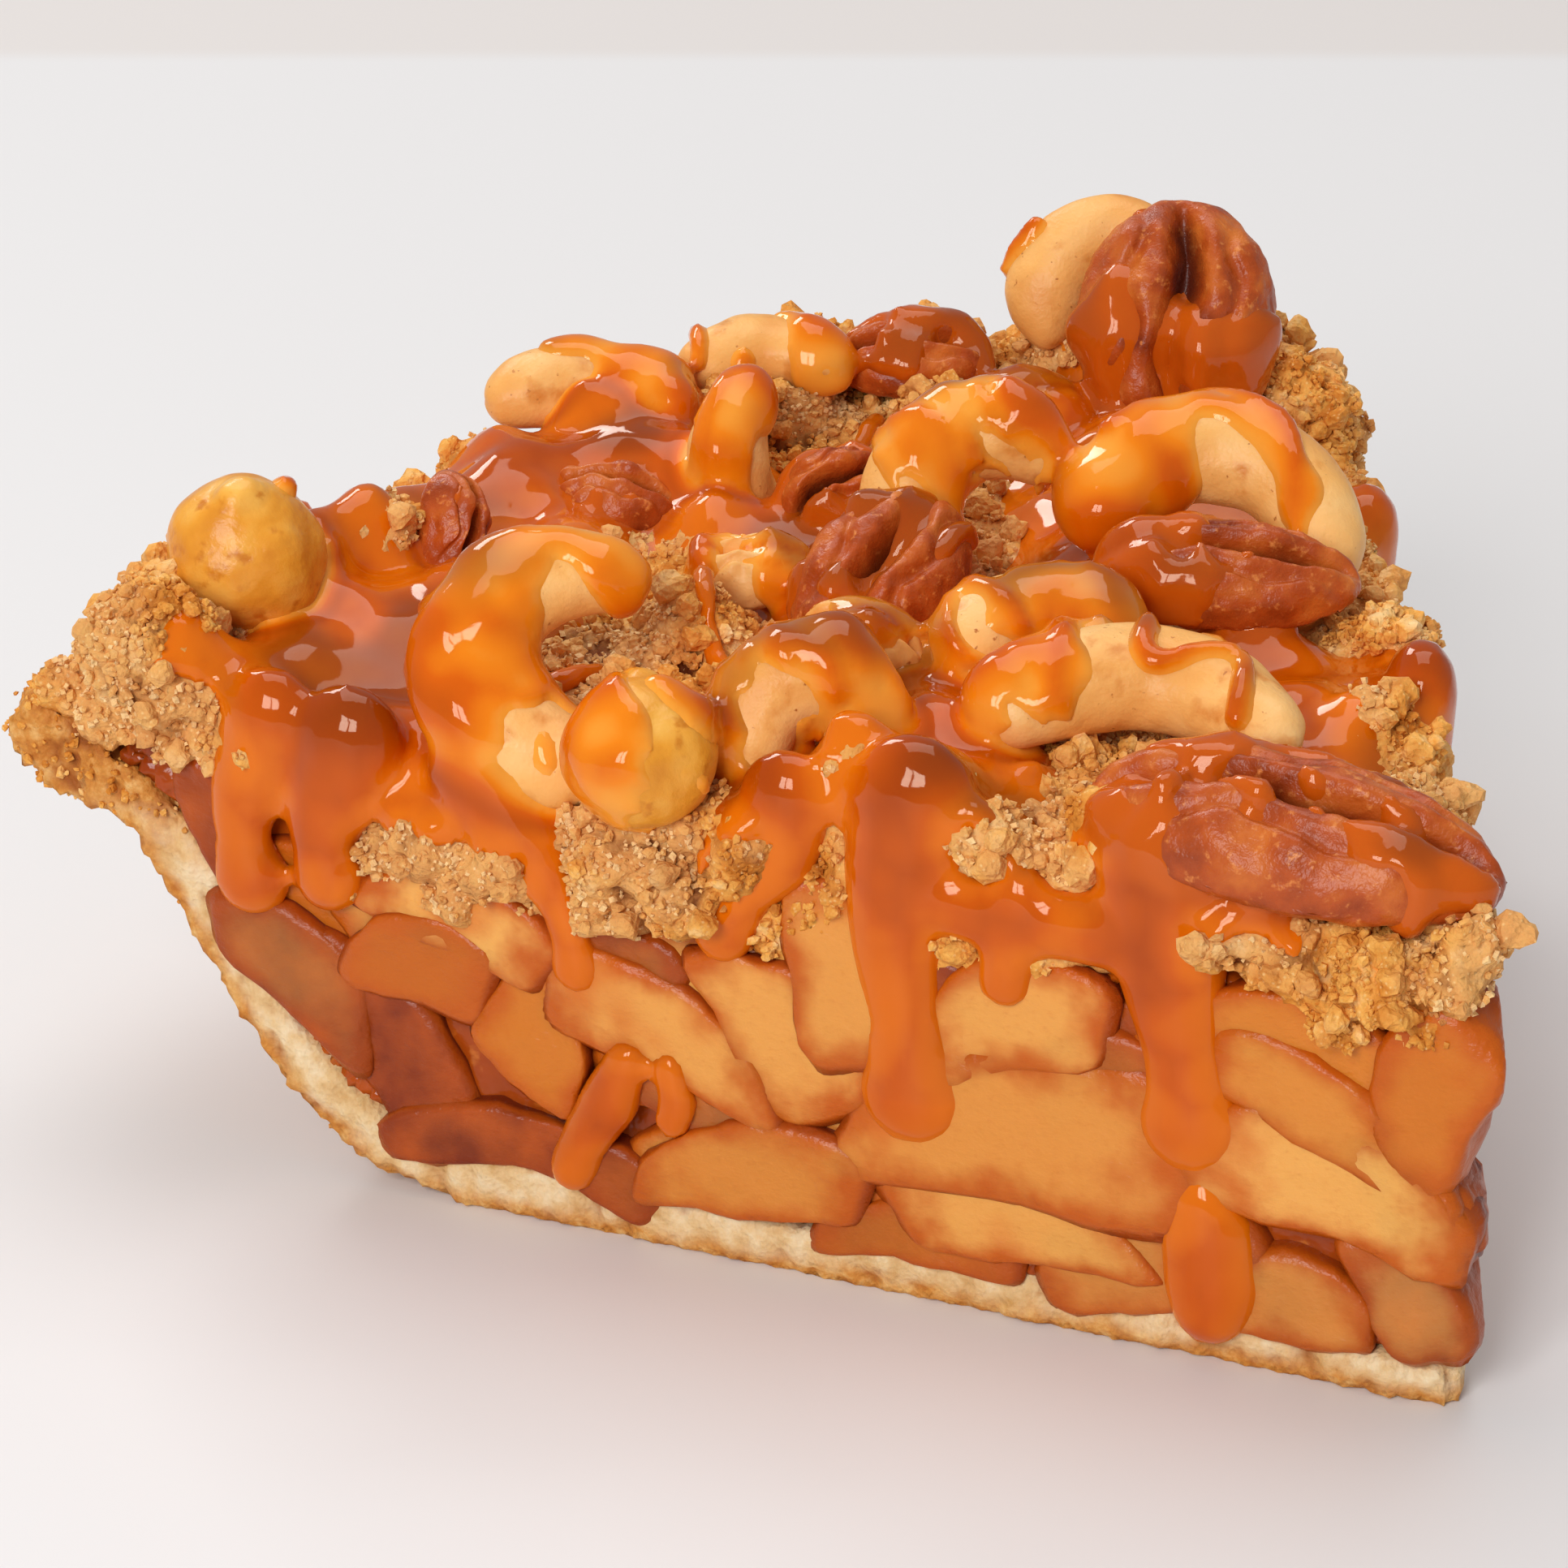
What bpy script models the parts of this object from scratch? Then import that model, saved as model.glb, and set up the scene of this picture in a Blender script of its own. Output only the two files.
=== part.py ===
"""A slice of deep apple crumble pie with whole nuts and thick caramel.

Metres, +Z up. The slice stands on the flat base of its crust. The point of the
slice, which is the centre of the whole pie, is toward -Y and the rim toward +Y.
Cut face A is on the -X side and cut face B on the +X side.
"""

import math
import random

import bmesh
import bpy
from mathutils import Euler, Matrix, Vector, noise

MM = 0.001

# Driving dimensions of the slice
SLICE_ANGLE = math.radians(66)
HALF_ANGLE = SLICE_ANGLE / 2
POINT_Y = -63.8 * MM
GAP = 0.4 * MM
CRUST_STEPS = 18
FILLING_STEPS = 10
CRUMBLE_STEPS = 12
SEED = 41
KEPT_FACES = 0.78
KEPT_CRUMBLE = 0.85
KEPT_CARAMEL = 0.6

# Crust section as radius and height in millimetres, outside then inside
CRUST_OUTSIDE = [
    (1.6, 0), (87, 0), (92.9, 1.2), (96.6, 3.1), (100.3, 5.8), (104, 9.9),
    (109.7, 18.2), (114.6, 26.9), (116.8, 29.4), (120.5, 29.9), (124.4, 31.2),
    (127, 34), (127.2, 37), (125.2, 39.6),
]
CRUST_INSIDE = [
    (122.8, 38.4), (118, 35.1), (113.6, 32.6), (110.4, 29.6), (105.8, 21.2),
    (102.3, 14.4), (96.6, 8.6), (91, 5.6), (83.8, 4.8), (45, 4.1), (1.6, 3.6),
]
FLAT_TO_HEIGHT = 6 * MM
CRUST_WAVE = 0.7 * MM
CRUST_LUMP = 9 * MM

# Filling section, which runs a little into the crust and is then trimmed to it
FILLING_FOOT = [
    (2, 2.4), (60, 3), (84, 3.6), (92, 4.2), (98.5, 8), (104.5, 14.5),
    (108, 21), (112.6, 29), (117.5, 33.4), (119.5, 35.2),
]
FILLING_TOP = [
    (113.8, 36.3), (107.1, 34), (95, 31.5), (83.2, 28.6), (79, 25.2),
    (69.6, 26.2), (56.2, 27.3), (42.4, 28.5), (32, 31.2), (21.3, 33.2),
    (8.2, 30.8), (2, 33),
]

# Crumble section: its lower side runs into the filling and is trimmed to it
CRUMBLE_FOOT = [
    (1.8, 30), (8.2, 28.5), (21.3, 30.8), (42, 26.3), (69.6, 24.2),
    (79, 22.6), (84, 26), (107, 31.8), (118, 33.6), (122, 36.6),
]
CRUMBLE_TOP = [
    (124, 40), (121.5, 42.6), (116, 44.7), (110, 44.2), (104, 41.8), (97, 38.4),
    (89, 36.8), (81, 37.4), (73, 38.8), (65, 40.2), (57, 41.2), (49, 41.4),
    (41, 41.4), (33, 40.8), (25, 39.2), (17, 38.6), (9, 39.6), (1.8, 38.6),
]
CRUMBLE_SURFACE_FROM = 36 * MM
CRUMBLE_LUMP = 11 * MM
CRUMBLE_RISE = 1.5 * MM
RISE_HEIGHT = 5 * MM
RISE_RADIUS = 87 * MM
RISE_WIDTH = 19 * MM
RISE_ANGLE = math.radians(13)

# Apple slices that stand proud of cut face A, in millimetres and degrees:
# distance from the point, height, length, thickness, slope
APPLES_FACE_A = [
    (108, 30.5, 11, 4.4, 62), (101, 17.6, 15, 7.4, 31), (89.5, 21.3, 11.5, 7.4, 3),
    (85.8, 25.2, 15.5, 4.2, 13), (79.1, 16.3, 9.6, 5.6, 47),
    (67.7, 19.1, 19, 6.2, 18), (57.9, 21.2, 14.6, 8, 53),
    (52.5, 26.2, 13, 7, 79), (37.3, 25.6, 11.4, 7.2, -20),
    (37.5, 15.8, 29, 11.4, -3), (37.3, 8.9, 19.2, 6.2, 0),
    (60.3, 8, 17.8, 6, -8), (44.6, 6.4, 12, 3.8, -4), (14.6, 28.2, 15, 3.8, 14),
    (13.2, 23.6, 15.5, 4.4, 25), (2.6, 26.2, 12, 6.6, -67),
    (11.6, 17.4, 20, 7.6, 11), (28.6, 7.2, 9.6, 5.4, -17), (13.8, 6.4, 9, 4.4, 0),
]
APPLE_DEPTH = 3.4 * MM
APPLE_PROUD = 1.4 * MM
APPLE_BOXY = 0.62
FACE_B_APPLE_ROWS = [(8.5, 12, 100), (16, 9, 104), (23.5, 6, 104)]

# Clumps of crumble, in millimetres: x, y, height, radius
CLUMPS_SHOWN = [
    (-61, 96, 44.5, 6.2), (-55.5, 88.5, 39.5, 4.6), (-36, 104, 45, 5.2),
    (21, 119, 46, 5.4), (30, 114, 46, 5.6), (53, 91, 44.5, 5.6),
    (-52, 105, 45.5, 4.8), (28, 46, 41.5, 4.4), (14.5, 33, 40.5, 4.6),
    (9.5, 21, 40, 4.2), (6, 112, 46, 4.6), (-8, 96, 40.5, 4.4),
    (0.5, 3.4, 38.6, 4.0), (-19, 98, 41.5, 4.4), (34, 90, 42.5, 4.6),
    (-6, 116, 46, 4.4), (12, 113, 46.6, 4.4), (41, 107, 47.6, 4.8), (24, 106, 45.6, 4.2),
]
CLUMPS_ALONG_FACE_A = [
    (7, 36.2, 4.2), (17, 36.2, 4.6), (32.6, 36, 3.6), (42.6, 35, 3.6), (53, 34.6, 3.8),
    (66, 34, 4.8), (71.5, 31, 4), (88.5, 31.4, 3.6), (111.5, 41.4, 4.8),
]
CLUMPS_ALONG_FACE_B = [
    (5, 36, 4), (16, 35, 4.6), (29, 36.4, 4.8), (54, 35.2, 4.6), (65, 33, 4.8),
    (75, 33.6, 4.4), (97, 35, 4.4), (108, 40, 4.8), (115, 41.5, 4.4),
]
CLUMPS_ON_TOP = 6
CLUMPS_ON_RIM = 7
CLUMP_ROUGHNESS = 0.22


def section(points):
    """Turn a section in millimetres into metres."""
    return [(radius * MM, height * MM) for radius, height in points]


def height_on(points, radius):
    """Height of a section line at a radius, both in metres."""
    line = sorted(section(points))
    if radius <= line[0][0]:
        return line[0][1]
    for (r0, z0), (r1, z1) in zip(line, line[1:]):
        if radius <= r1:
            return z0 + (z1 - z0) * (radius - r0) / (r1 - r0)
    return line[-1][1]


def wave(point, size, shift):
    """Smooth noise between about -1 and 1 with lumps of the given size."""
    return noise.noise(Vector(point) / size + Vector((shift, 0, 0)))


def swept(profile, steps):
    """Sweep a closed section through the angle of the slice."""
    bm = bmesh.new()
    ring = [
        bm.verts.new((-r * math.sin(HALF_ANGLE), r * math.cos(HALF_ANGLE), z))
        for r, z in profile
    ]
    face = bm.faces.new(ring)
    bmesh.ops.spin(
        bm, geom=[face, *face.edges, *ring], cent=(0, 0, 0), axis=(0, 0, -1),
        angle=SLICE_ANGLE, steps=steps,
    )
    return face_outward(bm)


def reshape(bm, rule):
    """Move each vertex in its own radial plane, so the cut faces stay flat."""
    for vert in bm.verts:
        radius = math.hypot(vert.co.x, vert.co.y)
        angle = math.atan2(vert.co.x, vert.co.y)
        new_radius, new_height = rule(radius, angle, vert.co.z)
        vert.co = (new_radius * math.sin(angle), new_radius * math.cos(angle), new_height)


def grown(bm, amount=GAP):
    """A copy that is larger all round by the gap that neighbours keep."""
    copy = bm.copy()
    copy.normal_update()
    moves = [vert.normal * amount * min(vert.calc_shell_factor(), 2) for vert in copy.verts]
    for vert, move in zip(copy.verts, moves):
        vert.co += move
    return copy


def face_outward(bm):
    bmesh.ops.recalc_face_normals(bm, faces=bm.faces)
    if bm.calc_volume(signed=True) < 0:
        bmesh.ops.reverse_faces(bm, faces=bm.faces)
    return bm


def helper_object(bm, name):
    mesh = bpy.data.meshes.new(name)
    bm.to_mesh(mesh)
    return bpy.data.objects.new(name, mesh)


def combined(bm, others, operation):
    """One Boolean on a collection, applied, with the collection then removed."""
    target = helper_object(bm, "target")
    bpy.context.scene.collection.objects.link(target)
    group = bpy.data.collections.new("operands")
    bpy.context.scene.collection.children.link(group)
    for other in others:
        group.objects.link(helper_object(other, "operand"))
    boolean = target.modifiers.new("combine", "BOOLEAN")
    boolean.operand_type = "COLLECTION"
    boolean.collection = group
    boolean.operation = operation
    boolean.solver = "EXACT"
    depsgraph = bpy.context.evaluated_depsgraph_get()
    result = bmesh.new()
    result.from_mesh(target.evaluated_get(depsgraph).to_mesh())
    for operand in list(group.objects):
        bpy.data.objects.remove(operand)
    bpy.data.collections.remove(group)
    bpy.data.objects.remove(target)
    bmesh.ops.triangulate(result, faces=result.faces)
    return largest_piece(result)


def thinned(bm, share):
    """Collapse the small edges that the Booleans leave, down to a share of the faces."""
    target = helper_object(bm, "thinned")
    bpy.context.scene.collection.objects.link(target)
    decimate = target.modifiers.new("thin", "DECIMATE")
    decimate.ratio = share
    result = bmesh.new()
    result.from_mesh(target.evaluated_get(bpy.context.evaluated_depsgraph_get()).to_mesh())
    bpy.data.objects.remove(target)
    return result


def largest_piece(bm):
    """Drop loose scraps and sealed hollows: keep the shell with the largest volume."""
    left = set(bm.verts)
    shells = []
    while left:
        stack = [left.pop()]
        shell = set(stack)
        while stack:
            for edge in stack.pop().link_edges:
                for vert in edge.verts:
                    if vert not in shell:
                        shell.add(vert)
                        stack.append(vert)
        left -= shell
        shells.append(shell)
    kept = max(shells, key=shell_volume)
    scraps = [vert for shell in shells if shell is not kept for vert in shell]
    bmesh.ops.delete(bm, geom=scraps, context="VERTS")
    return bm


def shell_volume(shell):
    faces = {face for vert in shell for face in vert.link_faces}
    return sum(
        face.verts[0].co.dot(face.verts[1].co.cross(face.verts[2].co)) / 6 for face in faces
    )


def lump(centre, radius, seed, sides=6, rings=4):
    """A rough clump of crumble."""
    bm = bmesh.new()
    bmesh.ops.create_uvsphere(bm, u_segments=sides, v_segments=rings, radius=radius)
    bm.transform(Euler((seed * 1.3, seed * 2.1, seed * 0.7)).to_matrix().to_4x4())
    for vert in bm.verts:
        vert.co *= 1 + CLUMP_ROUGHNESS * wave(vert.co, radius * 1.2, seed * 3.7)
    bm.transform(Matrix.Translation(centre))
    return bm


def on_face(distance, height, inset, side):
    """Point on a cut face, moved inward by the inset. Side is -1 for A and 1 for B."""
    along = Vector((side * math.sin(HALF_ANGLE), math.cos(HALF_ANGLE), 0))
    inward = Vector((-side * math.cos(HALF_ANGLE), math.sin(HALF_ANGLE), 0))
    return along * distance + inward * inset + Vector((0, 0, height))


def crust():
    """Short pastry shell: flat base, sloping wall and a thick turned-out lip."""
    bm = swept(section(CRUST_OUTSIDE + CRUST_INSIDE), CRUST_STEPS)

    def rule(radius, angle, height):
        if height < FLAT_TO_HEIGHT:
            return radius, height
        around = angle * radius / CRUST_LUMP
        share = min(1, (height - FLAT_TO_HEIGHT) / FLAT_TO_HEIGHT)
        drift = noise.noise(Vector((around, height / CRUST_LUMP, 3)))
        lift = noise.noise(Vector((around, 9, 1))) if height > 34 * MM else 0
        return radius + CRUST_WAVE * share * drift, height + CRUST_WAVE * lift

    reshape(bm, rule)
    return bm


def filling_surface(radius, angle):
    """Gentle rise and fall that the filling's top and the crumble share."""
    point = (radius * math.sin(angle), radius * math.cos(angle), 0)
    return 1.2 * MM * wave(point, 22 * MM, 5)


def filling_core():
    bm = swept(section(FILLING_FOOT + FILLING_TOP), FILLING_STEPS)

    def rule(radius, angle, height):
        if height < 24 * MM or radius > 110 * MM:
            return radius, height
        return radius, height + filling_surface(radius, angle)

    reshape(bm, rule)
    return bm


def apple_slice(distance, height, length, thickness, slope, side):
    """A soft-cornered slice of apple, half sunk in the cut face."""
    bm = bmesh.new()
    bmesh.ops.create_uvsphere(bm, u_segments=8, v_segments=4, radius=1)
    for vert in bm.verts:
        x, y, z = (math.copysign(abs(value) ** APPLE_BOXY, value) for value in vert.co)
        sag = 0.16 * length * (1 - x * x)
        vert.co = Vector((x * length / 2, y * APPLE_DEPTH / MM, z * thickness / 2 + sag / 2)) * MM
    across_face = Matrix.Rotation(-side * HALF_ANGLE, 4, "Z") @ Matrix.Rotation(math.pi / 2, 4, "Z")
    tilt = Matrix.Rotation(-math.radians(slope), 4, "Y")
    centre = on_face(distance * MM, height * MM, APPLE_DEPTH - APPLE_PROUD, side)
    bm.transform(Matrix.Translation(centre) @ across_face @ tilt)
    return face_outward(bm)


def apple_slices():
    slices = [apple_slice(*row, side=-1) for row in APPLES_FACE_A]
    draw = random.Random(SEED)
    for height, start, end in FACE_B_APPLE_ROWS:
        distance = start + draw.uniform(0, 5)
        while distance < end - 20 * (1 - height / 30):
            length = draw.uniform(11, 19)
            slices.append(
                apple_slice(
                    distance, height + draw.uniform(-0.8, 0.8), length,
                    draw.uniform(4.6, 7), draw.uniform(-12, 32), side=1,
                )
            )
            distance += length * 0.5 + draw.uniform(9, 13)
    return slices


def crumble_core():
    bm = swept(section(CRUMBLE_FOOT + CRUMBLE_TOP), CRUMBLE_STEPS)

    def rule(radius, angle, height):
        if height < CRUMBLE_SURFACE_FROM:
            return radius, height + filling_surface(radius, angle) * (radius < 110 * MM)
        return radius, height + crumble_bump(radius, angle)

    reshape(bm, rule)
    return bm


def crumble_bump(radius, angle):
    """Lumps of the crumble's surface, and its rise inward from the low stretch of face A."""
    point = (radius * math.sin(angle), radius * math.cos(angle), 0)
    share = min(1, max(0, (angle + HALF_ANGLE) / RISE_ANGLE))
    hill = math.exp(-(((radius - RISE_RADIUS) / RISE_WIDTH) ** 2))
    rise = RISE_HEIGHT * hill * share * share * (3 - 2 * share)
    return rise + CRUMBLE_RISE * wave(point, CRUMBLE_LUMP, 11)


def crumble_clumps():
    """Clumps that stand out of the top, the rim and the two cut faces."""
    clumps = []
    for number, (x, y, height, radius) in enumerate(CLUMPS_SHOWN):
        centre = Vector((x, y, height)) * MM
        clumps.append(lump(centre, radius * MM, number + 1))
    for side, places in ((-1, CLUMPS_ALONG_FACE_A), (1, CLUMPS_ALONG_FACE_B)):
        for number, (distance, height, radius) in enumerate(places):
            inset = radius * (0.55 if number % 2 else 0.72) * MM
            centre = on_face(distance * MM, height * MM, inset, side)
            clumps.append(lump(centre, radius * MM, number * 2 + side + 20))
    draw = random.Random(SEED + 1)
    for number in range(CLUMPS_ON_TOP):
        distance = (18 + 98 * math.sqrt((number + 0.5) / CLUMPS_ON_TOP)) * MM
        angle = HALF_ANGLE * 0.82 * (2 * ((number * 0.618) % 1) - 1)
        radius = draw.uniform(3.4, 5.2) * MM
        surface = height_on(CRUMBLE_TOP, distance) + crumble_bump(distance, angle)
        height = surface + draw.uniform(-0.2, 0.25) * radius
        centre = (distance * math.sin(angle), distance * math.cos(angle), height)
        clumps.append(lump(Vector(centre), radius, number + 60))
    for number in range(CLUMPS_ON_RIM):
        angle = HALF_ANGLE * (-0.86 + 1.72 * (number + draw.uniform(-0.2, 0.2)) / (CLUMPS_ON_RIM - 1))
        distance = draw.uniform(117, 119.5) * MM
        centre = (distance * math.sin(angle), distance * math.cos(angle), draw.uniform(43, 45) * MM)
        clumps.append(lump(Vector(centre), draw.uniform(3.8, 5) * MM, number + 90))
    return clumps


# Nuts: name, centre in millimetres, heading, lean and spin in degrees, then sizes
CASHEWS = [
    ("cashew_front", (-39.2, 72.6, 46.6), -34, 52, 84, 25, 9.5, 200),
    ("cashew_mid", (-24.8, 54.4, 46.2), -30, 62, 4, 17, 8, 200),
    ("cashew_crown", (8, 80, 51), -34, 58, 42, 21, 9, 165),
    ("cashew_right", (25, 64, 49.5), -34, 40, -28, 28, 9, 185),
    ("cashew_long", (-2, 40, 46.2), -44, 12, -4, 29, 9.5, 120),
    ("cashew_cover", (-1, 56, 47), -30, 18, 12, 20, 8.5, 130),
    ("cashew_upright", (-1, 101, 47), 30, 84, 90, 17, 7.6, 130),
    ("cashew_back_left", (-5, 118, 49.6), -34, 8, -6, 20, 8, 120),
    ("cashew_back", (11.5, 115.4, 50.2), -40, 14, 8, 17, 7.6, 120),
    ("cashew_peak", (42, 106, 56), -20, 60, 24, 20, 8, 150),
]
CASHEW_SIDES = 8
CASHEW_RINGS = 9

# Pecan pieces: length, width and height of each
PECANS = [
    ("pecan_peak", (43.5, 96, 53.5), -34, 62, 84, 22, 18, 9),
    ("pecan_front", (-5.6, 16.4, 43.4), -34, 14, -22, 33, 15.5, 9),
    ("pecan_right", (17.6, 55, 47), -34, 20, -4, 22, 11, 7.5),
    ("pecan_centre", (-5, 72.5, 46), -34, 35, 60, 19, 13.5, 9),
    ("pecan_back", (24.2, 110, 49), -34, 20, 0, 14, 9, 6.5),
    ("pecan_scrap", (3.5, 92, 46), -34, 40, 30, 10, 8.5, 7),
    ("pecan_pool", (-12, 104, 44.6), -34, 10, -10, 12, 8, 6.5),
    ("pecan_peek", (-29.5, 102, 46.8), 20, 70, 60, 10, 6, 6),
    ("nut_glazed", (29.6, 100, 45.6), -34, 20, 10, 11, 7, 6),
    ("nut_small", (-11, 83, 44.6), -34, 15, 0, 11, 7, 6),
    ("nut_pale", (-13.5, 63.5, 45.2), -34, 15, -20, 11, 7.5, 6.5),
]
PECAN_SIDES = 12
PECAN_RINGS = 7
SMALL_NUT = 12

HAZELNUTS = [
    ("hazelnut_left", (-49.5, 101, 49), 13.2, 20),
    ("hazelnut_mid", (-38.6, 56.6, 44.2), 11.4, -35),
]


def cashew(length, thickness, bend):
    """A curved nut: an oval section swept round an arc, with full round ends."""
    bm = bmesh.new()
    bmesh.ops.create_uvsphere(bm, u_segments=CASHEW_SIDES, v_segments=CASHEW_RINGS, radius=1)
    half_bend = math.radians(bend) / 2
    reach = math.sin(min(half_bend, math.pi / 2))
    arc = (length - thickness) / 2 / reach
    for vert in bm.verts:
        along = vert.co.z
        fullness = (1 - min(1, abs(along) ** 2.6)) ** (1 / 2.6)
        ring = math.hypot(vert.co.x, vert.co.y) or 1
        plump = fullness * thickness / 2 * (1 - 0.1 * along)
        outward = vert.co.x / ring * plump
        sideways = vert.co.y / ring * plump * 0.86
        turn = along * (half_bend + thickness / 2 / arc * 0.75)
        vert.co = Vector(
            ((arc + outward) * math.sin(turn), (arc + outward) * math.cos(turn), sideways)
        ) * MM
    middle = Vector((0, (arc + arc * math.cos(half_bend)) / 2, 0)) * MM
    bm.transform(Matrix.Translation(-middle))
    return face_outward(bm)


def pecan(length, width, height):
    """Half a nut: a long dome with a deep groove between two lobes."""
    bm = bmesh.new()
    small = length <= SMALL_NUT
    sides = 8 if small else PECAN_SIDES
    rings = 5 if small else PECAN_RINGS
    bmesh.ops.create_uvsphere(bm, u_segments=sides, v_segments=rings, radius=1)
    bm.transform(Matrix.Rotation(math.pi / 2, 4, "Y"))
    for vert in bm.verts:
        x, y, z = vert.co
        groove = 0.62 * math.exp(-((y / 0.2) ** 2)) * (1 - x ** 4)
        up = z - groove if z > 0 else 0.5 * z
        vert.co = Vector((x * length / 2, y * width / 2, up * height * 0.66)) * MM
    return face_outward(bm)


def hazelnut(diameter):
    """A round nut with a low point at the top."""
    bm = bmesh.new()
    bmesh.ops.create_uvsphere(bm, u_segments=10, v_segments=6, radius=diameter / 2 * MM)
    for vert in bm.verts:
        if vert.co.z > 0:
            vert.co.z *= 1 + 0.14 * (vert.co.z / (diameter / 2 * MM)) ** 3
    return face_outward(bm)


def facing(heading, lean, spin):
    """Turn a nut in its own plane, lean it back, then head it round the vertical."""
    turn = Matrix.Rotation(math.radians(heading), 4, "Z")
    turn @= Matrix.Rotation(math.radians(lean), 4, "X")
    return turn @ Matrix.Rotation(math.radians(spin), 4, "Z")


def nuts():
    """Every nut as name, kind, mesh about its own centre, and placement."""
    found = []
    for name, centre, heading, lean, spin, length, thickness, bend in CASHEWS:
        placement = Matrix.Translation(Vector(centre) * MM) @ facing(heading, lean, spin)
        found.append((name, "cashew", cashew(length, thickness, bend), placement))
    for name, centre, heading, lean, spin, length, width, height in PECANS:
        placement = Matrix.Translation(Vector(centre) * MM) @ facing(heading, lean, spin)
        kind = "cashew" if name.startswith("nut_") else "pecan"
        found.append((name, kind, pecan(length, width, height), placement))
    for name, centre, diameter, lean in HAZELNUTS:
        placement = Matrix.Translation(Vector(centre) * MM) @ facing(-34, lean, 0)
        found.append((name, "hazelnut", hazelnut(diameter), placement))
    return found


# Caramel lying on the crumble: half width, then its route as x and y in millimetres
CARAMEL_FLOWS = [
    (9, [(-20, 110), (-9, 112), (-3, 104)]),
    (5, [(-20, 112), (-31, 113), (-40, 103), (-43, 94)]),
    (7, [(-14, 106), (-26, 96), (-40, 90)]),
    (8, [(-40, 92), (-50, 81)]),
    (6, [(-44, 92), (-53, 91), (-58, 87)]),
    (6, [(-44, 86), (-45, 74), (-44, 70)]),
    (7, [(-4, 104), (-3, 88), (-6, 72), (-16, 47)]),
    (8.5, [(-12, 58), (-17, 47), (-25, 40)]),
    (5.5, [(-17, 47), (-31, 48)]),
    (5.5, [(-17, 42), (-20, 31)]),
    (7, [(-17, 42), (-16, 26)]),
    (7, [(28, 92), (24, 81), (14, 70), (0, 61), (-12, 56)]),
    (5.5, [(18, 54), (16, 44), (8, 32), (-1, 22), (-9, 18)]),
    (6, [(46, 104), (32, 88), (24, 81)]),
    (6, [(16, 44), (24, 36)]),
    (6, [(28, 88), (38, 78), (46, 71)]),
    (6, [(-9, 113), (-2, 121)]),
]
CARAMEL_DEPTH = 2.4 * MM
CARAMEL_BELOW = 1.2 * MM
CARAMEL_FOOT = 4 * MM
CARAMEL_CELLS = 16
CARAMEL_STEPS = 14

# Drips down a cut face: side, widths, then distance from the point and height
CARAMEL_DRIPS = [
    (-1, (6, 4.6, 3.4, 4.2), [(103, 42.4), (104.4, 35), (105, 29.5), (104.6, 25.4)]),
    (-1, (6, 4.6, 3.2, 4), [(95, 39.4), (97.2, 34.5), (98, 30.5), (97.4, 27)]),
    (-1, (8, 5.6, 4.2, 4.6), [(84, 39.4), (78.5, 33), (76, 28.5), (75, 25)]),
    (-1, (7, 5, 4, 5), [(57, 42.6), (58.6, 36), (60.2, 31.6), (61.4, 28)]),
    (-1, (10, 7, 4.8, 4.4, 5.4), [(48.6, 43), (49.3, 36.5), (47.8, 30), (46.6, 22), (46, 17)]),
    (-1, (7, 5.6, 5), [(37, 42), (37.8, 35), (38.3, 30)]),
    (-1, (11, 9, 7, 6, 6.8), [(28.6, 41), (27, 35.5), (25, 29), (23.4, 22), (22.9, 18.4)]),
    (1, (8, 6, 5, 5.6), [(43, 42.4), (43.6, 35.5), (44.6, 29), (45, 23.6)]),
    (1, (8, 6, 4.4, 5.2), [(84, 38.6), (85, 33), (85.6, 27.6), (86, 22.8)]),
]
DRIP_SUNK = 0.22
# Drip down the outside of the crust: angle in degrees, then radius and height
RIM_DRIP_ANGLE = -3
RIM_DRIP_WIDTHS = (8, 7, 5, 4, 4.6)
RIM_DRIP = [(116, 44.6), (123.5, 41), (126.6, 37), (126.6, 33), (124.6, 29.5)]


def distance_to_route(x, y, route):
    """Distance in millimetres from a point to a route of straight runs."""
    nearest = 1e9
    for (x0, y0), (x1, y1) in zip(route, route[1:]):
        run = (x1 - x0, y1 - y0)
        share = ((x - x0) * run[0] + (y - y0) * run[1]) / (run[0] ** 2 + run[1] ** 2)
        share = min(1, max(0, share))
        nearest = min(nearest, math.hypot(x - x0 - share * run[0], y - y0 - share * run[1]))
    return nearest


def caramel_cover(radius, angle):
    """Thickness of caramel above the crumble, below zero where there is none."""
    x = radius * math.sin(angle) / MM
    y = radius * math.cos(angle) / MM
    best = max(1 - distance_to_route(x, y, route) / width for width, route in CARAMEL_FLOWS)
    return CARAMEL_DEPTH * math.copysign(abs(best) ** 0.6, best)


def caramel_sheet():
    """The pools and bands, as one sheet whose bare parts lie inside the crumble."""
    count = CARAMEL_CELLS
    radii = [(4 + 118 * share / count) * MM for share in range(count + 1)]
    top = [(radius, 2 * MM) for radius in radii]
    foot = [(radius, 0) for radius in reversed(radii[::2])]
    bm = swept(top + foot, CARAMEL_STEPS)

    def rule(radius, angle, height):
        surface = height_on(CRUMBLE_TOP, radius) + crumble_bump(radius, angle)
        if height > MM:
            return radius, surface + max(-CARAMEL_BELOW, caramel_cover(radius, angle))
        return radius, surface - CARAMEL_FOOT

    reshape(bm, rule)
    return bm


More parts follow.
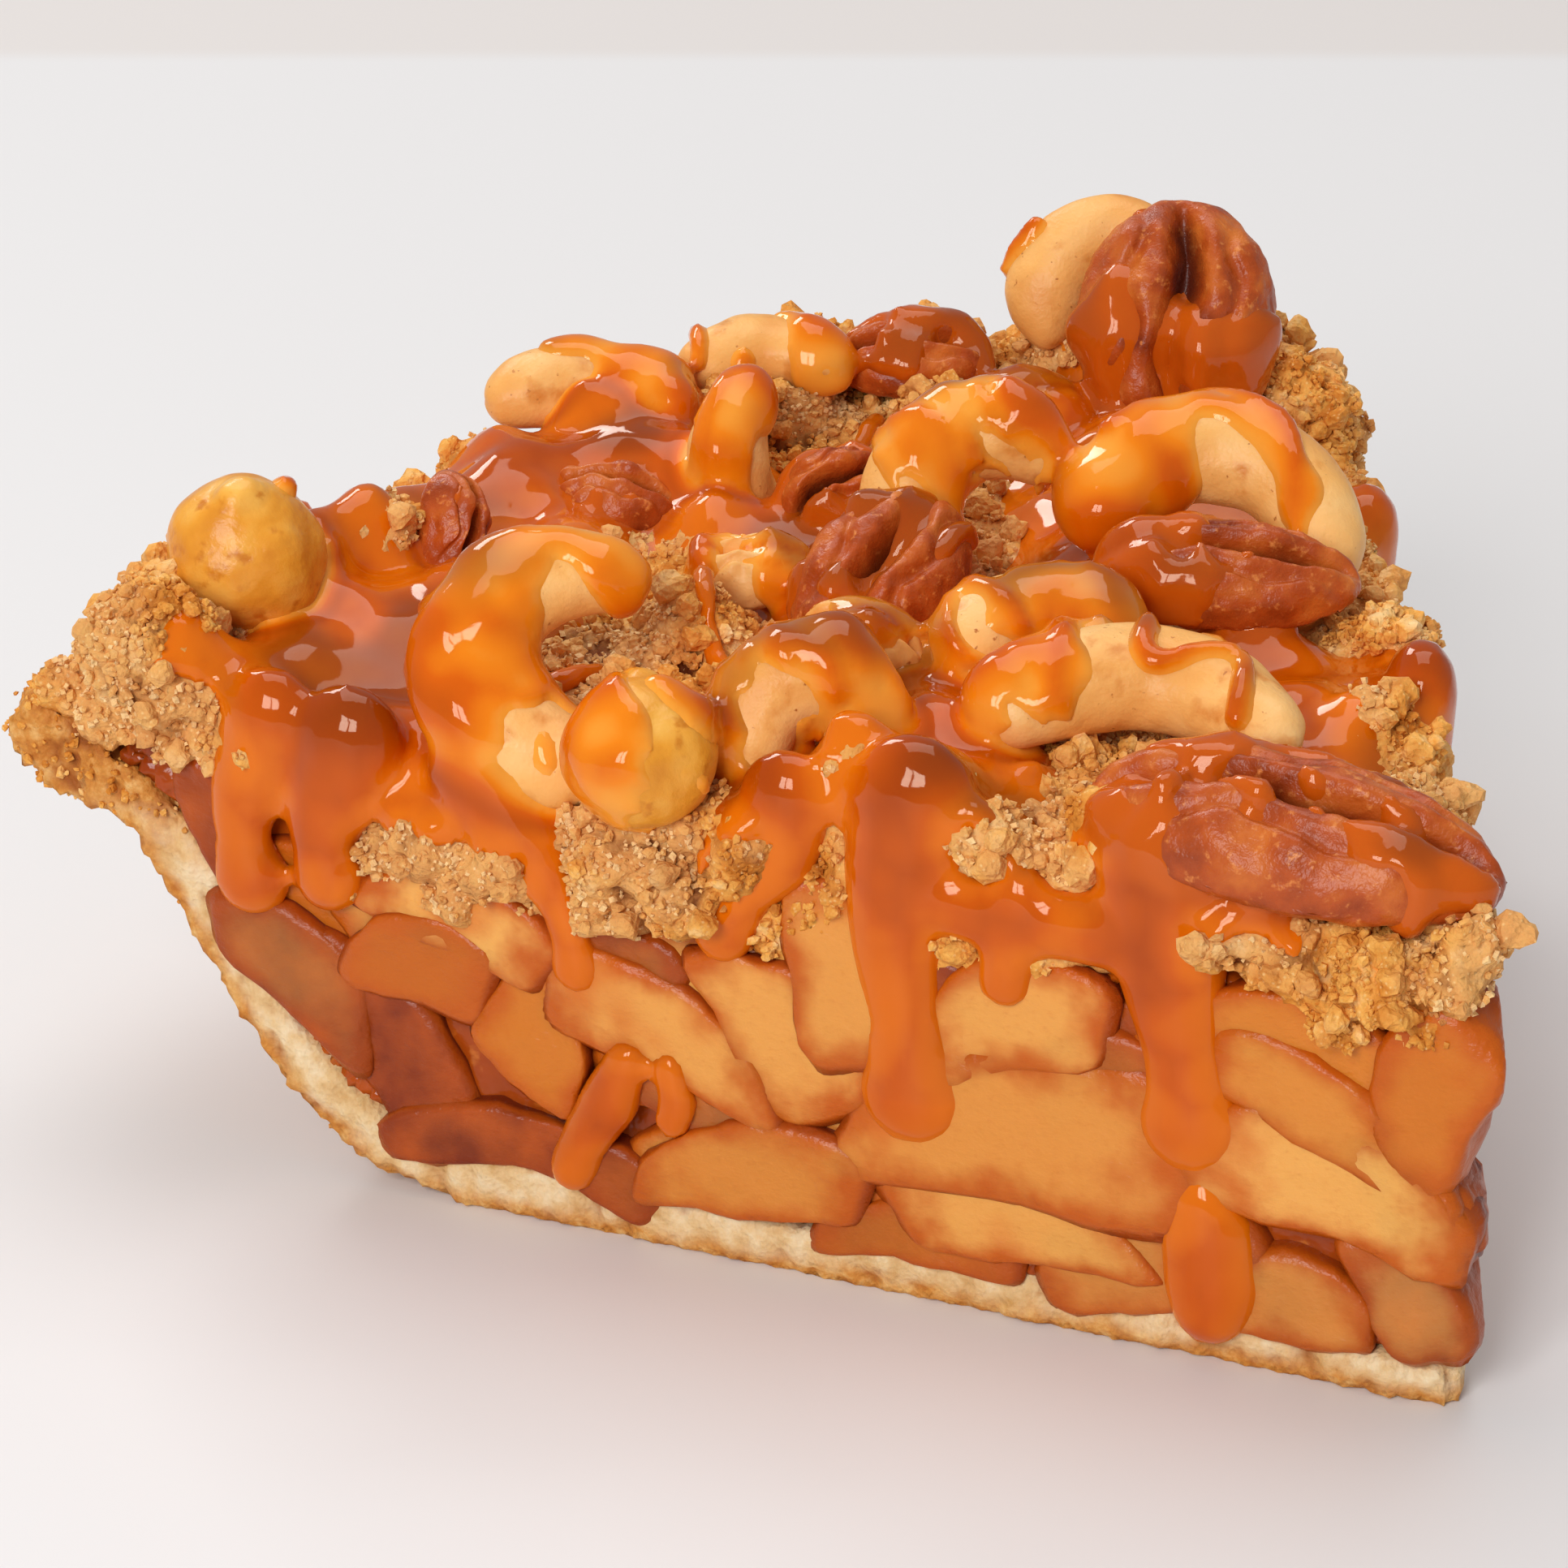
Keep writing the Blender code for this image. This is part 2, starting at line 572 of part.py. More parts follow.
def run_of_caramel(points, widths):
    """A run of caramel with a fat round end: a tube with a width at each point."""
    curve = bpy.data.curves.new("run", "CURVE")
    curve.dimensions = "3D"
    curve.bevel_depth = 0.5 * MM
    curve.bevel_resolution = 1
    curve.use_fill_caps = True
    spline = curve.splines.new("POLY")
    ends = [(points[-1] + (points[-1] - points[-2]).normalized() * widths[-1] * 0.4 * MM, 0.5)]
    route = list(zip(points, widths)) + ends
    spline.points.add(len(route) - 1)
    for point, (place, width) in zip(spline.points, route):
        point.co = (*place, 1)
        point.radius = width
    owner = bpy.data.objects.new("run", curve)
    bpy.context.scene.collection.objects.link(owner)
    bm = bmesh.new()
    bm.from_mesh(owner.evaluated_get(bpy.context.evaluated_depsgraph_get()).to_mesh())
    bpy.data.objects.remove(owner)
    bpy.data.curves.remove(curve)
    bmesh.ops.remove_doubles(bm, verts=bm.verts, dist=0.001 * MM)
    return face_outward(bm)


def caramel_runs():
    runs = []
    for side, widths, route in CARAMEL_DRIPS:
        points = [
            on_face(distance * MM, height * MM, DRIP_SUNK * width * MM, side)
            for width, (distance, height) in zip(widths, route)
        ]
        runs.append(run_of_caramel(points, widths))
    angle = math.radians(RIM_DRIP_ANGLE)
    outward = Vector((math.sin(angle), math.cos(angle), 0))
    points = [outward * radius * MM + Vector((0, 0, height * MM)) for radius, height in RIM_DRIP]
    runs.append(run_of_caramel(points, RIM_DRIP_WIDTHS))
    return runs


def material(name, colour, roughness):
    made = bpy.data.materials.new(name)
    made.use_nodes = True
    shader = made.node_tree.nodes["Principled BSDF"]
    shader.inputs["Base Color"].default_value = (*colour, 1)
    shader.inputs["Roughness"].default_value = roughness
    shader.inputs["Metallic"].default_value = 0
    return made


def add_object(name, bm, surface, parent, placement=None, smooth_angle=50):
    mesh = bpy.data.meshes.new(name)
    bm.to_mesh(mesh)
    mesh.materials.append(surface)
    mesh.shade_smooth()
    mesh.set_sharp_from_angle(angle=math.radians(smooth_angle))
    made = bpy.data.objects.new(name, mesh)
    bpy.context.scene.collection.objects.link(made)
    made.parent = parent
    if placement:
        made.location = placement.to_translation()
        made.rotation_euler = placement.to_euler()
    return made


def placed(bm, placement):
    copy = bm.copy()
    copy.transform(placement)
    return copy


def build_slice():
    for existing in list(bpy.data.objects):
        bpy.data.objects.remove(existing)
    slice_root = bpy.data.objects.new("pie_slice", None)
    slice_root.location = (0, POINT_Y, 0)
    bpy.context.scene.collection.objects.link(slice_root)

    shell = crust()
    add_object("crust", shell, material("baked_crust", (0.72, 0.5, 0.26), 0.75), slice_root)

    filling_pieces = [filling_core(), *apple_slices()]
    filling = combined(filling_pieces[0], filling_pieces[1:], "UNION")
    filling = combined(filling, [grown(shell)], "DIFFERENCE")
    apple = material("cooked_apple", (0.55, 0.22, 0.07), 0.35)
    filling = thinned(filling, KEPT_FACES)
    add_object("apple_filling", filling, apple, slice_root)

    nut_surfaces = {
        "cashew": material("toasted_cashew", (0.8, 0.5, 0.22), 0.4),
        "pecan": material("toasted_pecan", (0.28, 0.09, 0.03), 0.45),
        "hazelnut": material("toasted_hazelnut", (0.68, 0.38, 0.14), 0.4),
    }
    nut_cutters = []
    for name, kind, nut, placement in nuts():
        add_object(name, nut, nut_surfaces[kind], slice_root, placement)
        nut_cutters.append(placed(grown(nut), placement))

    crumble_pieces = [crumble_core(), *crumble_clumps()]
    crumble = combined(crumble_pieces[0], crumble_pieces[1:], "UNION")
    below = [grown(shell)] + [grown(piece) for piece in filling_pieces]
    below = [combined(below[0], below[1:], "UNION")]
    crumble = combined(crumble, below, "DIFFERENCE")
    crumble = combined(crumble, nut_cutters, "DIFFERENCE")
    crumble = thinned(crumble, KEPT_CRUMBLE)
    add_object("crumble_topping", crumble, material("baked_crumble", (0.6, 0.33, 0.13), 0.8), slice_root)

    sheet = combined(caramel_sheet(), caramel_runs(), "UNION")
    sheet = combined(sheet, below, "DIFFERENCE")
    grown_crumble = [grown(piece) for piece in crumble_pieces]
    sheet = combined(sheet, [combined(grown_crumble[0], grown_crumble[1:], "UNION")], "DIFFERENCE")
    for cutter in nut_cutters:
        sheet = combined(sheet, [cutter], "DIFFERENCE")
    sheet = thinned(sheet, KEPT_CARAMEL)
    add_object("caramel_sauce", sheet, material("caramel", (0.5, 0.13, 0.02), 0.18), slice_root)


build_slice()
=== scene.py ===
import math
import random

import bmesh
import bpy
import numpy as np
from mathutils import Matrix, Vector, noise
from mathutils.bvhtree import BVHTree


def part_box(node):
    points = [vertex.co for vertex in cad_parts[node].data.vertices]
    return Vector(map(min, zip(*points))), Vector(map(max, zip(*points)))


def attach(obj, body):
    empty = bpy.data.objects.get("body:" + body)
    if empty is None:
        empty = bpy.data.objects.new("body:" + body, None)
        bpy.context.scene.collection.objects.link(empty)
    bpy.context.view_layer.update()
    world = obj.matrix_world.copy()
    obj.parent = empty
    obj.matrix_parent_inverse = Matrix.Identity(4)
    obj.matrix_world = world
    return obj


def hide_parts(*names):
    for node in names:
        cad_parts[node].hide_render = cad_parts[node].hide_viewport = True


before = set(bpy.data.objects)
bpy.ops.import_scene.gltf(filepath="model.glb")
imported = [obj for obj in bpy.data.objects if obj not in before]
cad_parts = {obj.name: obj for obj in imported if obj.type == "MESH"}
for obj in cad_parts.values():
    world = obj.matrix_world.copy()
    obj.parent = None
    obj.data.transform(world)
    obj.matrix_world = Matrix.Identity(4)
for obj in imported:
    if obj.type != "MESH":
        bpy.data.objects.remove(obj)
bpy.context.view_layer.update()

MM = 0.001
SEED = 7

# The slice in the frame: its point and half of its angle
POINT = Vector((0, -63.8 * MM, 0))
HALF_ANGLE = math.radians(33)

# Camera, as an angle round the slice and a place to look at
CAMERA_AZIMUTH = math.radians(-33.669)
CAMERA_ELEVATION = math.radians(23.61)
CAMERA_DISTANCE = 460 * MM
CAMERA_TARGET = POINT + Vector((-14.58, 72.8, 30)) * MM
CAMERA_LENS = 126.2
VIEW_RIGHT = Vector((math.cos(CAMERA_AZIMUTH), math.sin(CAMERA_AZIMUTH), 0))

# Nuts as heading, lean and spin in degrees, then their sizes in millimetres
CASHEWS = {
    "cashew_front": (-34, 52, 84, 25, 9.5, 200),
    "cashew_mid": (-30, 62, 4, 17, 8, 200),
    "cashew_crown": (-34, 58, 42, 21, 9, 165),
    "cashew_right": (-34, 40, -28, 28, 9, 185),
    "cashew_long": (-44, 12, -4, 29, 9.5, 120),
    "cashew_cover": (-30, 18, 12, 20, 8.5, 130),
    "cashew_upright": (30, 84, 90, 17, 7.6, 130),
    "cashew_back_left": (-34, 8, -6, 20, 8, 120),
    "cashew_back": (-40, 14, 8, 17, 7.6, 120),
    "cashew_peak": (-34, 60, 24, 20, 8, 150),
}
PECANS = {
    "pecan_peak": (-34, 62, 84, 22, 18, 9),
    "pecan_front": (-34, 14, -22, 33, 15.5, 9),
    "pecan_right": (-34, 20, -4, 22, 11, 7.5),
    "pecan_centre": (-34, 35, 60, 19, 13.5, 9),
    "pecan_back": (-34, 20, 0, 14, 9, 6.5),
    "pecan_scrap": (-34, 40, 30, 10, 8.5, 7),
    "pecan_pool": (-34, 10, -10, 12, 8, 6.5),
    "pecan_peek": (20, 70, 60, 10, 6, 6),
}
NUT_BITS = {
    "nut_glazed": (-34, 20, 10, 11, 7, 6),
    "nut_small": (-34, 15, 0, 11, 7, 6),
    "nut_pale": (-34, 15, -20, 11, 7.5, 6.5),
}
HAZELNUTS = {
    "hazelnut_left": (-34, 20, 0, 13.2),
    "hazelnut_mid": (-34, -35, 0, 11.4),
}
# How much caramel lies on each nut: share covered, start of its pattern, how the cover
# grows towards the right and towards the top, and how far it was drizzled in lines
CARAMEL_ON_NUTS = {
    "cashew_front": (0.62, 3.1, 0, 0.1, 0.05),
    "cashew_mid": (0.66, 8.4, -0.1, 0.4, 0.2),
    "cashew_crown": (0.5, 1.7, 0.2, 0.1, 0.4),
    "cashew_right": (0.5, 5.2, -0.9, 0.3, 0),
    "cashew_long": (0.2, 9.3, -0.8, 0.1, 0.15),
    "cashew_cover": (0.75, 4.4, 0, 0, 0.3),
    "cashew_upright": (0.5, 6.1, 0, 0.5, 0),
    "cashew_back_left": (0.45, 2.2, 0.7, -0.3, 0),
    "cashew_back": (0.35, 7.7, 0.5, -0.3, 0),
    "cashew_peak": (-0.1, 0.6, -0.2, -0.4, 0),
    "pecan_peak": (0.3, 2.9, 0, -1.3, 0),
    "pecan_front": (0.36, 5.9, 0, -0.4, 0),
    "pecan_right": (0.4, 1.1, -0.3, -0.2, 0.1),
    "pecan_centre": (0.12, 4.8, -0.3, 0, 0),
    "pecan_back": (0.3, 3.6, 0, 0, 0),
    "pecan_scrap": (0.3, 6.6, 0, 0, 0),
    "pecan_pool": (0.35, 8.1, 0, 0, 0),
    "pecan_peek": (0.1, 9.9, 0, 0, 0),
    "nut_glazed": (1, 1.9, 0, 0, 0.1),
    "nut_small": (0.5, 7.2, 0, 0, 0.1),
    "nut_pale": (0.3, 3.3, 0, 0, 0),
    "hazelnut_left": (-0.6, 2.5, 0, 0, 0),
    "hazelnut_mid": (0.66, 2.9, -0.4, 0, 0.2),
}
RIPPLE_WIDTH = 3.2
FILM_DEPTH = 0.45
FILM_BELOW = 0.7
FILM_EDGE = 0.06
FILM_SWELL = 0.25
FILM_ON_TOP = 0.15

# Caramel on the crumble: half width, depth, then its route as x and y from the point
CARAMEL_FLOWS = [
    (9, 4, [(-20, 110), (-9, 112), (-3, 104)]),
    (5, 2.4, [(-20, 112), (-31, 113), (-40, 103), (-43, 94)]),
    (7, 2.6, [(-14, 106), (-26, 96), (-40, 90)]),
    (8, 2.6, [(-40, 92), (-50, 81)]),
    (6, 2, [(-44, 92), (-53, 91), (-58, 87)]),
    (6, 2.2, [(-44, 86), (-45, 74), (-44, 70)]),
    (7, 2.6, [(-4, 104), (-3, 88), (-6, 72), (-16, 47)]),
    (8.5, 2.6, [(-12, 58), (-17, 47), (-25, 40)]),
    (5.5, 2.2, [(-17, 47), (-31, 48)]),
    (5, 2.2, [(-9, 24), (-14, 24)]),
    (7, 3, [(28, 92), (24, 81), (14, 70), (0, 61), (-12, 56)]),
    (5.5, 2.4, [(18, 54), (16, 44), (8, 32), (-1, 22), (-9, 18)]),
    (6, 2.4, [(46, 104), (32, 88), (24, 81)]),
    (6, 2.2, [(16, 44), (24, 36)]),
    (6, 2.2, [(28, 88), (38, 78), (46, 71)]),
    (6, 2.2, [(-9, 113), (-2, 121)]),
]
SHEET_CELLS = 150
SHEET_SPAN = 132
SHEET_WAVES = [(6, 1.2)]
SHEET_SPILL = -0.3
SHEET_THICKNESS = 2.6
SHEET_SMOOTHING = 6
CREEP_HEIGHT = 1.4
CREEP_WIDTH = 1.2
CARAMEL_VOXEL = 0.67 * MM

# Drips down a cut face: side, widths, then distance from the point and height
CARAMEL_DRIPS = [
    (-1, (9, 7, 5, 7), [(102.6, 41), (104.6, 35), (105.2, 30.5), (104.6, 26.6)]),
    (-1, (10, 8, 5, 6.6), [(95.6, 40), (97.4, 34.5), (98, 30.5), (97.4, 28)]),
    (-1, (9, 7.4, 4, 3.8, 4.8), [(84, 39.4), (79.4, 34), (76.6, 30), (75.4, 26.5), (75, 24.2)]),
    (-1, (8, 7, 5.4, 5.6), [(57, 42), (57.6, 37.4), (60.6, 33.4), (62.2, 29.6)]),
    (-1, (11, 10, 8, 6.4, 8, 9.8),
     [(46.6, 43.4), (47.4, 37.5), (47.6, 31), (46.8, 25.4), (46.2, 21.4), (46, 18.6)]),
    (-1, (6, 6.4, 4.6, 4.8), [(37.4, 37), (37.6, 34.5), (38.2, 31.4), (38.3, 30)]),
    (-1, (12, 10.6, 8.4, 6.6, 7.4, 9.2),
     [(26, 41.4), (25.6, 36.4), (24.8, 31.4), (23.8, 26.6), (23.2, 23), (22.9, 20.6)]),
    (-1, (6, 6, 6, 8), [(46, 36), (40, 35.4), (33, 35.4), (26, 36)]),
    (-1, (3.6, 5.4, 4.6, 4.6), [(70.6, 17), (72.2, 13), (74.4, 9), (75.6, 6)]),
    (-1, (3, 3.8, 3.6), [(66.8, 17), (66.2, 14), (66.6, 12.2)]),
    (-1, (5, 8.4, 8.6, 7), [(21.6, 14), (21.2, 10.6), (20.8, 7), (20.8, 5)]),
    (1, (9, 7, 5, 5.8), [(43, 42.4), (43.6, 35.5), (44.6, 29), (45, 24.6)]),
    (1, (9, 7, 4.6, 5.2), [(84, 40.6), (85, 33), (85.6, 27.6), (86, 23.8)]),
]
DRIP_FLATNESS = 0.7
DRIP_PROUD = 1.5
DRIP_SUNK = 0.2
RIM_DRIP_ANGLE = math.radians(-3)
RIM_DRIP = [(8, 116, 44.6), (7, 123, 41), (4.6, 126.6, 37), (3.6, 126.8, 33), (4.8, 125.4, 29.5)]
BEAD_STEP = 0.9

# Strands draped over nuts and crumble: width, then a route as x and y from the point
CARAMEL_STRANDS = [
    (2.6, [(-36, 114), (-41, 104), (-43, 94), (-46, 84)]),
    (2.4, [(-46, 100), (-42, 108), (-34, 114), (-26, 117), (-19, 110)]),
    (2.4, [(38, 110), (30, 113), (22, 110), (15, 105)]),
    (2.6, [(10, 48), (15.5, 46), (20, 44), (21, 37)]),
    (2.6, [(-44, 80), (-39, 84), (-33, 79), (-28, 80)]),
    (2.2, [(-47, 72), (-42, 68), (-37, 72), (-33, 66)]),
    (2.8, [(-14, 86), (-20, 76), (-22, 67), (-30, 60), (-35, 54)]),
    (2.4, [(-20, 64), (-26, 57), (-24, 50), (-29, 45)]),
    (2.2, [(-14, 56), (-20, 53), (-18, 48)]),
    (2.6, [(-2, 66), (-5, 58), (-4, 49), (-10, 42), (-16, 40)]),
    (2.4, [(-4, 52), (2, 46), (-2, 40), (4, 36), (0, 31)]),
    (2.2, [(9, 47), (5, 42), (10, 37)]),
    (2.4, [(2, 88), (6, 80), (4, 72), (-2, 68)]),
    (2.4, [(12, 86), (13, 79), (9, 72), (13, 66)]),
    (2.4, [(18, 72), (26, 72), (30, 64), (26, 56)]),
    (2.4, [(-14, 22), (-6, 25), (0, 20), (4, 14)]),
    (2.2, [(8, 121), (3, 112), (3, 106), (-6, 99)]),
]
STRAND_SUNK = 0.1
STRAND_STEP = 0.6
STRAND_THINNING = 0.3
STRAND_DROP_HEIGHT = 60

# Apple slices in a cut face: distance from the point, height, length, thickness, slope in
# degrees, taper, how deep the slice sits and how far it is soaked with juice
APPLES_FACE_A = [
    (108, 30.5, 12.6, 5.8, 62, 0, 0.5, 0.9),
    (95.5, 14.6, 27, 10, 40, 0.1, 1.2, 1),
    (101, 18.4, 18, 8.8, 31, 0.2, 0.6, 0.75),
    (89.3, 21.6, 14, 8.6, 2, 0.15, 0.2, 0.2),
    (85.8, 26, 19, 7, 13, 0.15, 0.4, 0.1),
    (79, 16.2, 12.6, 9, 47, -0.25, 0.5, 0.1),
    (71, 24.8, 11, 6.6, 5, 0, 0.9, 0.7),
    (67.7, 19.2, 23, 9, 18, -0.15, 0.3, 0),
    (64, 13.2, 16, 6.8, 20, 0, 1, 0.7),
    (57.9, 21.6, 18, 10.6, 53, 0.15, 0.4, 0),
    (52.2, 27.8, 18, 10, 80, 0.1, 0.1, 0.1),
    (37.3, 26, 17, 10, -14, -0.1, 0.4, 0),
    (29.6, 22, 15, 8, -12, 0, 0.9, 0.6),
    (37, 15.8, 33, 14, -3, 0.12, 0.15, 0.1),
    (36.6, 8.4, 24, 8.6, 0, -0.15, 0.4, 0.1),
    (60.3, 7.9, 22, 8.6, -8, 0.1, 0.4, 0.2),
    (45.6, 5, 19, 5.6, -4, 0, 0.8, 0.5),
    (83.8, 6.1, 22, 6, -6, 0, 0.8, 1),
    (72, 5.4, 9, 6, 30, 0, 0.6, 0.8),
    (14.8, 29, 20, 6.8, 14, 0, 0.5, 0.1),
    (13.4, 23.6, 20, 7, 25, -0.1, 0.25, 0),
    (3.4, 26.6, 15.5, 9.6, -67, 0, 0.1, 0.1),
    (11.8, 17, 25, 10.6, 11, -0.12, 0.15, 0.05),
    (28.6, 6.4, 15, 9, -17, 0.1, 0.7, 0.4),
    (14, 6.2, 13, 8, 0, 0, 0.6, 0.4),
    (22.5, 11.6, 13, 7, 10, 0, 1, 0.7),
    (5.4, 17, 13, 7, 66, 0, 0.4, 0.25),
    (5, 8.8, 12, 8, 62, 0, 0.7, 0.6),
]
# Slices behind those, then rows on the other face: height, first and last distance,
# thickness and how deep the row sits at least
FACE_A_BEHIND = [(9, 22, 72, 8, 1.3), (17, 4, 74, 8.4, 1.4), (25, 6, 106, 8, 1.3)]
FACE_B_ROWS = [
    (7.4, 17, 82, 7.4, 0.3), (14.6, 17, 88, 8.6, 0.3), (21.8, 17, 94, 8, 0.4), (28.6, 18, 98, 7, 0.5),
    (34.6, 72, 104, 6, 0.6),
]
APPLE_DEPTH = 3.6
APPLE_PROUD = 1.35
APPLE_LENGTH_KEPT = 0.97
APPLE_THICKNESS_KEPT = 0.93
APPLE_SQUARENESS = 7
APPLE_CROWDING = 0.7
APPLE_FULLNESS = 1.08
APPLE_NARROWING = 0.42
APPLE_SLANT = 0.22
APPLE_SWING = 0.03
APPLE_NOD = 0.06
APPLE_TIP_SPAN = 36
APPLE_TIP_TRIM = 0.9
APPLE_TIP_DEPTH = 0.2
APPLE_RIM = 0.16
APPLE_ROLL = 0.8
APPLE_CELLS = 11
APPLE_BOW = 0.1

# Outside of the crust's section, as radius and height, and where it is baked golden
CRUST_OUTSIDE = [
    (0, 0), (87, 0), (92.9, 1.2), (96.6, 3.1), (100.3, 5.8), (104, 9.9), (109.7, 18.2),
    (114.6, 26.9), (116.8, 29.4), (120.5, 29.9), (124.4, 31.2), (127, 34), (127.2, 37), (125.2, 39.6),
]
RIM_HEIGHTS = (27, 33)
GOLDEN_HEIGHTS = (26, 32)
GOLDEN_DEPTHS = (0.5, 2.4)

# Larger crumbs of crumble: distance from the point, height, how deep and radius
CHUNKS_FACE_A = [
    (52.2, 44, 3, 3.4), (55, 41.6, 3, 2.6), (40.4, 41, 0.8, 3), (41.6, 38, 0.6, 2.2),
    (32.6, 43.4, 4, 3), (30, 42, 2, 2.4), (88.2, 33, 0.4, 4.2), (82, 31.6, 0.4, 3.8),
    (85.6, 28.4, 0, 2.6), (92.6, 31, 0.6, 2.6), (71, 34.4, 0.2, 4.8), (72, 29.8, 0, 3.2),
    (64.8, 32, -0.2, 4.6), (60, 36.4, 0, 4.2), (66.6, 36.4, 0, 4.2), (42.6, 32.2, -0.6, 1.6),
    (20.4, 36.4, -0.4, 3.2), (15, 35.6, 0.2, 3.4), (8.6, 35.4, 0.2, 4), (2.8, 36.6, 0.6, 3.6),
    (4, 31.8, 0.4, 2.8), (11.4, 32.4, 0, 2.8), (98, 28, 0, 1.2), (96, 27, 0, 1),
]
CHUNK_SHARE = 0.9
CRUMBLE_LAYERS = [(8, 1.4), (3.4, 1.1), (1.5, 0.7), (0.8, 0.5)]
GEL_SWELL = 0.35
GEL_SUNK = 1.8

# Skin cells and counts of the crumble and the crust
CRUMBLE_VOXEL = 0.62 * MM
CRUST_VOXEL = 0.75 * MM
GEL_VOXEL = 0.9 * MM
SUGAR_COUNT = 15500
GRAIN_COUNT = 9000
LUMP_COUNT = 900
CRUST_GRAIN_COUNT = 7000
GRAIN_PROUD = 0.22
GRAIN_SHAKE = 0.2
DRY_GAP = 6

# Light and floor in metres and watts, as soft boxes round the slice
LIGHT_AIM = Vector((0, 0, 0.03))
WORLD_COLOUR = (1, 0.985, 0.97, 1)
WORLD_STRENGTH = 0.35
OVERHEAD_SIZE = (0.8, 0.8)
OVERHEAD_POWER = 4.9
BACK_PANE_SIZE = (0.4, 0.3)
BACK_PANE_POWER = 3.4
WINDOW_PANE_SIZE = (0.22, 0.28)
WINDOW_PANE_POWER = 2.2
WINDOW_SPREAD = (0.13, 0.16)
FLOOR_HALF = 3
FAR_STRIP = (0.318, 0.326)

UP = Vector((0, 0, 1))


def at(x, y, z):
    """A place in millimetres from the point of the slice."""
    return POINT + Vector((x, y, z)) * MM


def on_face(distance, height, inset, side):
    """A place on a cut face in millimetres. Side is -1 for face A and 1 for face B."""
    x = side * (math.sin(HALF_ANGLE) * distance - math.cos(HALF_ANGLE) * inset)
    y = math.cos(HALF_ANGLE) * distance + math.sin(HALF_ANGLE) * inset
    return at(x, y, height)


def outward_from(side):
    """The direction in which a cut face looks."""
    return (on_face(0, 0, -1, side) - POINT).normalized()


def gap_to_line(x, y, start, end):
    """Distance from a place to the straight stretch between two others."""
    (x0, y0), (x1, y1) = start, end
    run = (x1 - x0, y1 - y0)
    share = ((x - x0) * run[0] + (y - y0) * run[1]) / (run[0] ** 2 + run[1] ** 2)
    share = min(1, max(0, share))
    return math.hypot(x - x0 - share * run[0], y - y0 - share * run[1])


def copy_of(node):
    """A node's solid as one closed mesh."""
    bm = bmesh.new()
    bm.from_mesh(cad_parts[node].data)
    bmesh.ops.remove_doubles(bm, verts=bm.verts, dist=0.002 * MM)
    return bm


def join(whole, part):
    """Move everything in one mesh into another."""
    mesh = bpy.data.meshes.new("part")
    part.to_mesh(mesh)
    part.free()
    whole.from_mesh(mesh)
    bpy.data.meshes.remove(mesh)


def add_piece(name, bm):
    """A new object from a mesh, with soft shading."""
    mesh = bpy.data.meshes.new(name)
    bm.to_mesh(mesh)
    bm.free()
    mesh.shade_smooth()
    piece = bpy.data.objects.new(name, mesh)
    bpy.context.scene.collection.objects.link(piece)
    return piece


def with_skin(piece, voxel, smoothing):
    """Fuse everything in a piece into one even skin and soften it."""
    remesh = piece.modifiers.new("skin", "REMESH")
    remesh.mode = "VOXEL"
    remesh.voxel_size = voxel
    soften = piece.modifiers.new("soften", "SMOOTH")
    soften.factor = 0.5
    soften.iterations = smoothing
    depsgraph = bpy.context.evaluated_depsgraph_get()
    mesh = bpy.data.meshes.new_from_object(piece.evaluated_get(depsgraph))
    piece.modifiers.clear()
    piece.data = mesh
    mesh.shade_smooth()
    return piece


def moved_points(mesh, rule):
    """Move every point of a mesh along its normal by a rule that gives millimetres."""
    places = [vert.co.copy() for vert in mesh.vertices]
    normals = [vert.normal.copy() for vert in mesh.vertices]
    moves = [rule(place / MM, normal) for place, normal in zip(places, normals)]
    for vert, place, normal, move in zip(mesh.vertices, places, normals, moves):
        vert.co = place + normal * move * MM
    mesh.update()
    return moves


def rough(place, layers, shift=0):
    """Soft noise at a place in millimetres, as a sum of sizes and heights."""
    start = Vector((shift, 2 * shift, 3 * shift))
    return sum(height * noise.noise(place / size + start) for size, height in layers)


def step_up(value, low, high):
    """0 below low, 1 above high and smooth between."""
    share = min(1, max(0, (value - low) / (high - low)))
    return share * share * (3 - 2 * share)


def smooth_route(controls, step):
    """Points on a smooth line through rows of numbers, a step in millimetres apart."""
    rows = [Vector(row[:3]) for row in controls]
    extra = [row[3] for row in controls]
    found = []
    for index in range(len(rows) - 1):
        before = rows[max(index - 1, 0)]
        start, end = rows[index], rows[index + 1]
        after = rows[min(index + 2, len(rows) - 1)]
        count = max(1, round((end - start).length / (step * MM)))
        for number in range(count + (index == len(rows) - 2)):
            t = number / count
            place = 0.5 * (
                2 * start + (end - before) * t
                + (2 * before - 5 * start + 4 * end - after) * t ** 2
                + (3 * start - before - 3 * end + after) * t ** 3
            )
            found.append((place, extra[index] + (extra[index + 1] - extra[index]) * t))
    return found


def paint(mesh, name, values):
    """Store one number for each point, for the material to read."""
    layer = mesh.attributes.new(name, "FLOAT", "POINT")
    layer.data.foreach_set("value", np.asarray(values, dtype=np.float32))


def tree_of(meshes):
    """A search tree over the surfaces of several meshes."""
    points = []
    faces = []
    for mesh in meshes:
        start = len(points)
        points.extend(vert.co for vert in mesh.vertices)
        faces.extend([start + index for index in face.vertices] for face in mesh.polygons)
    return BVHTree.FromPolygons(points, faces)


# Nuts

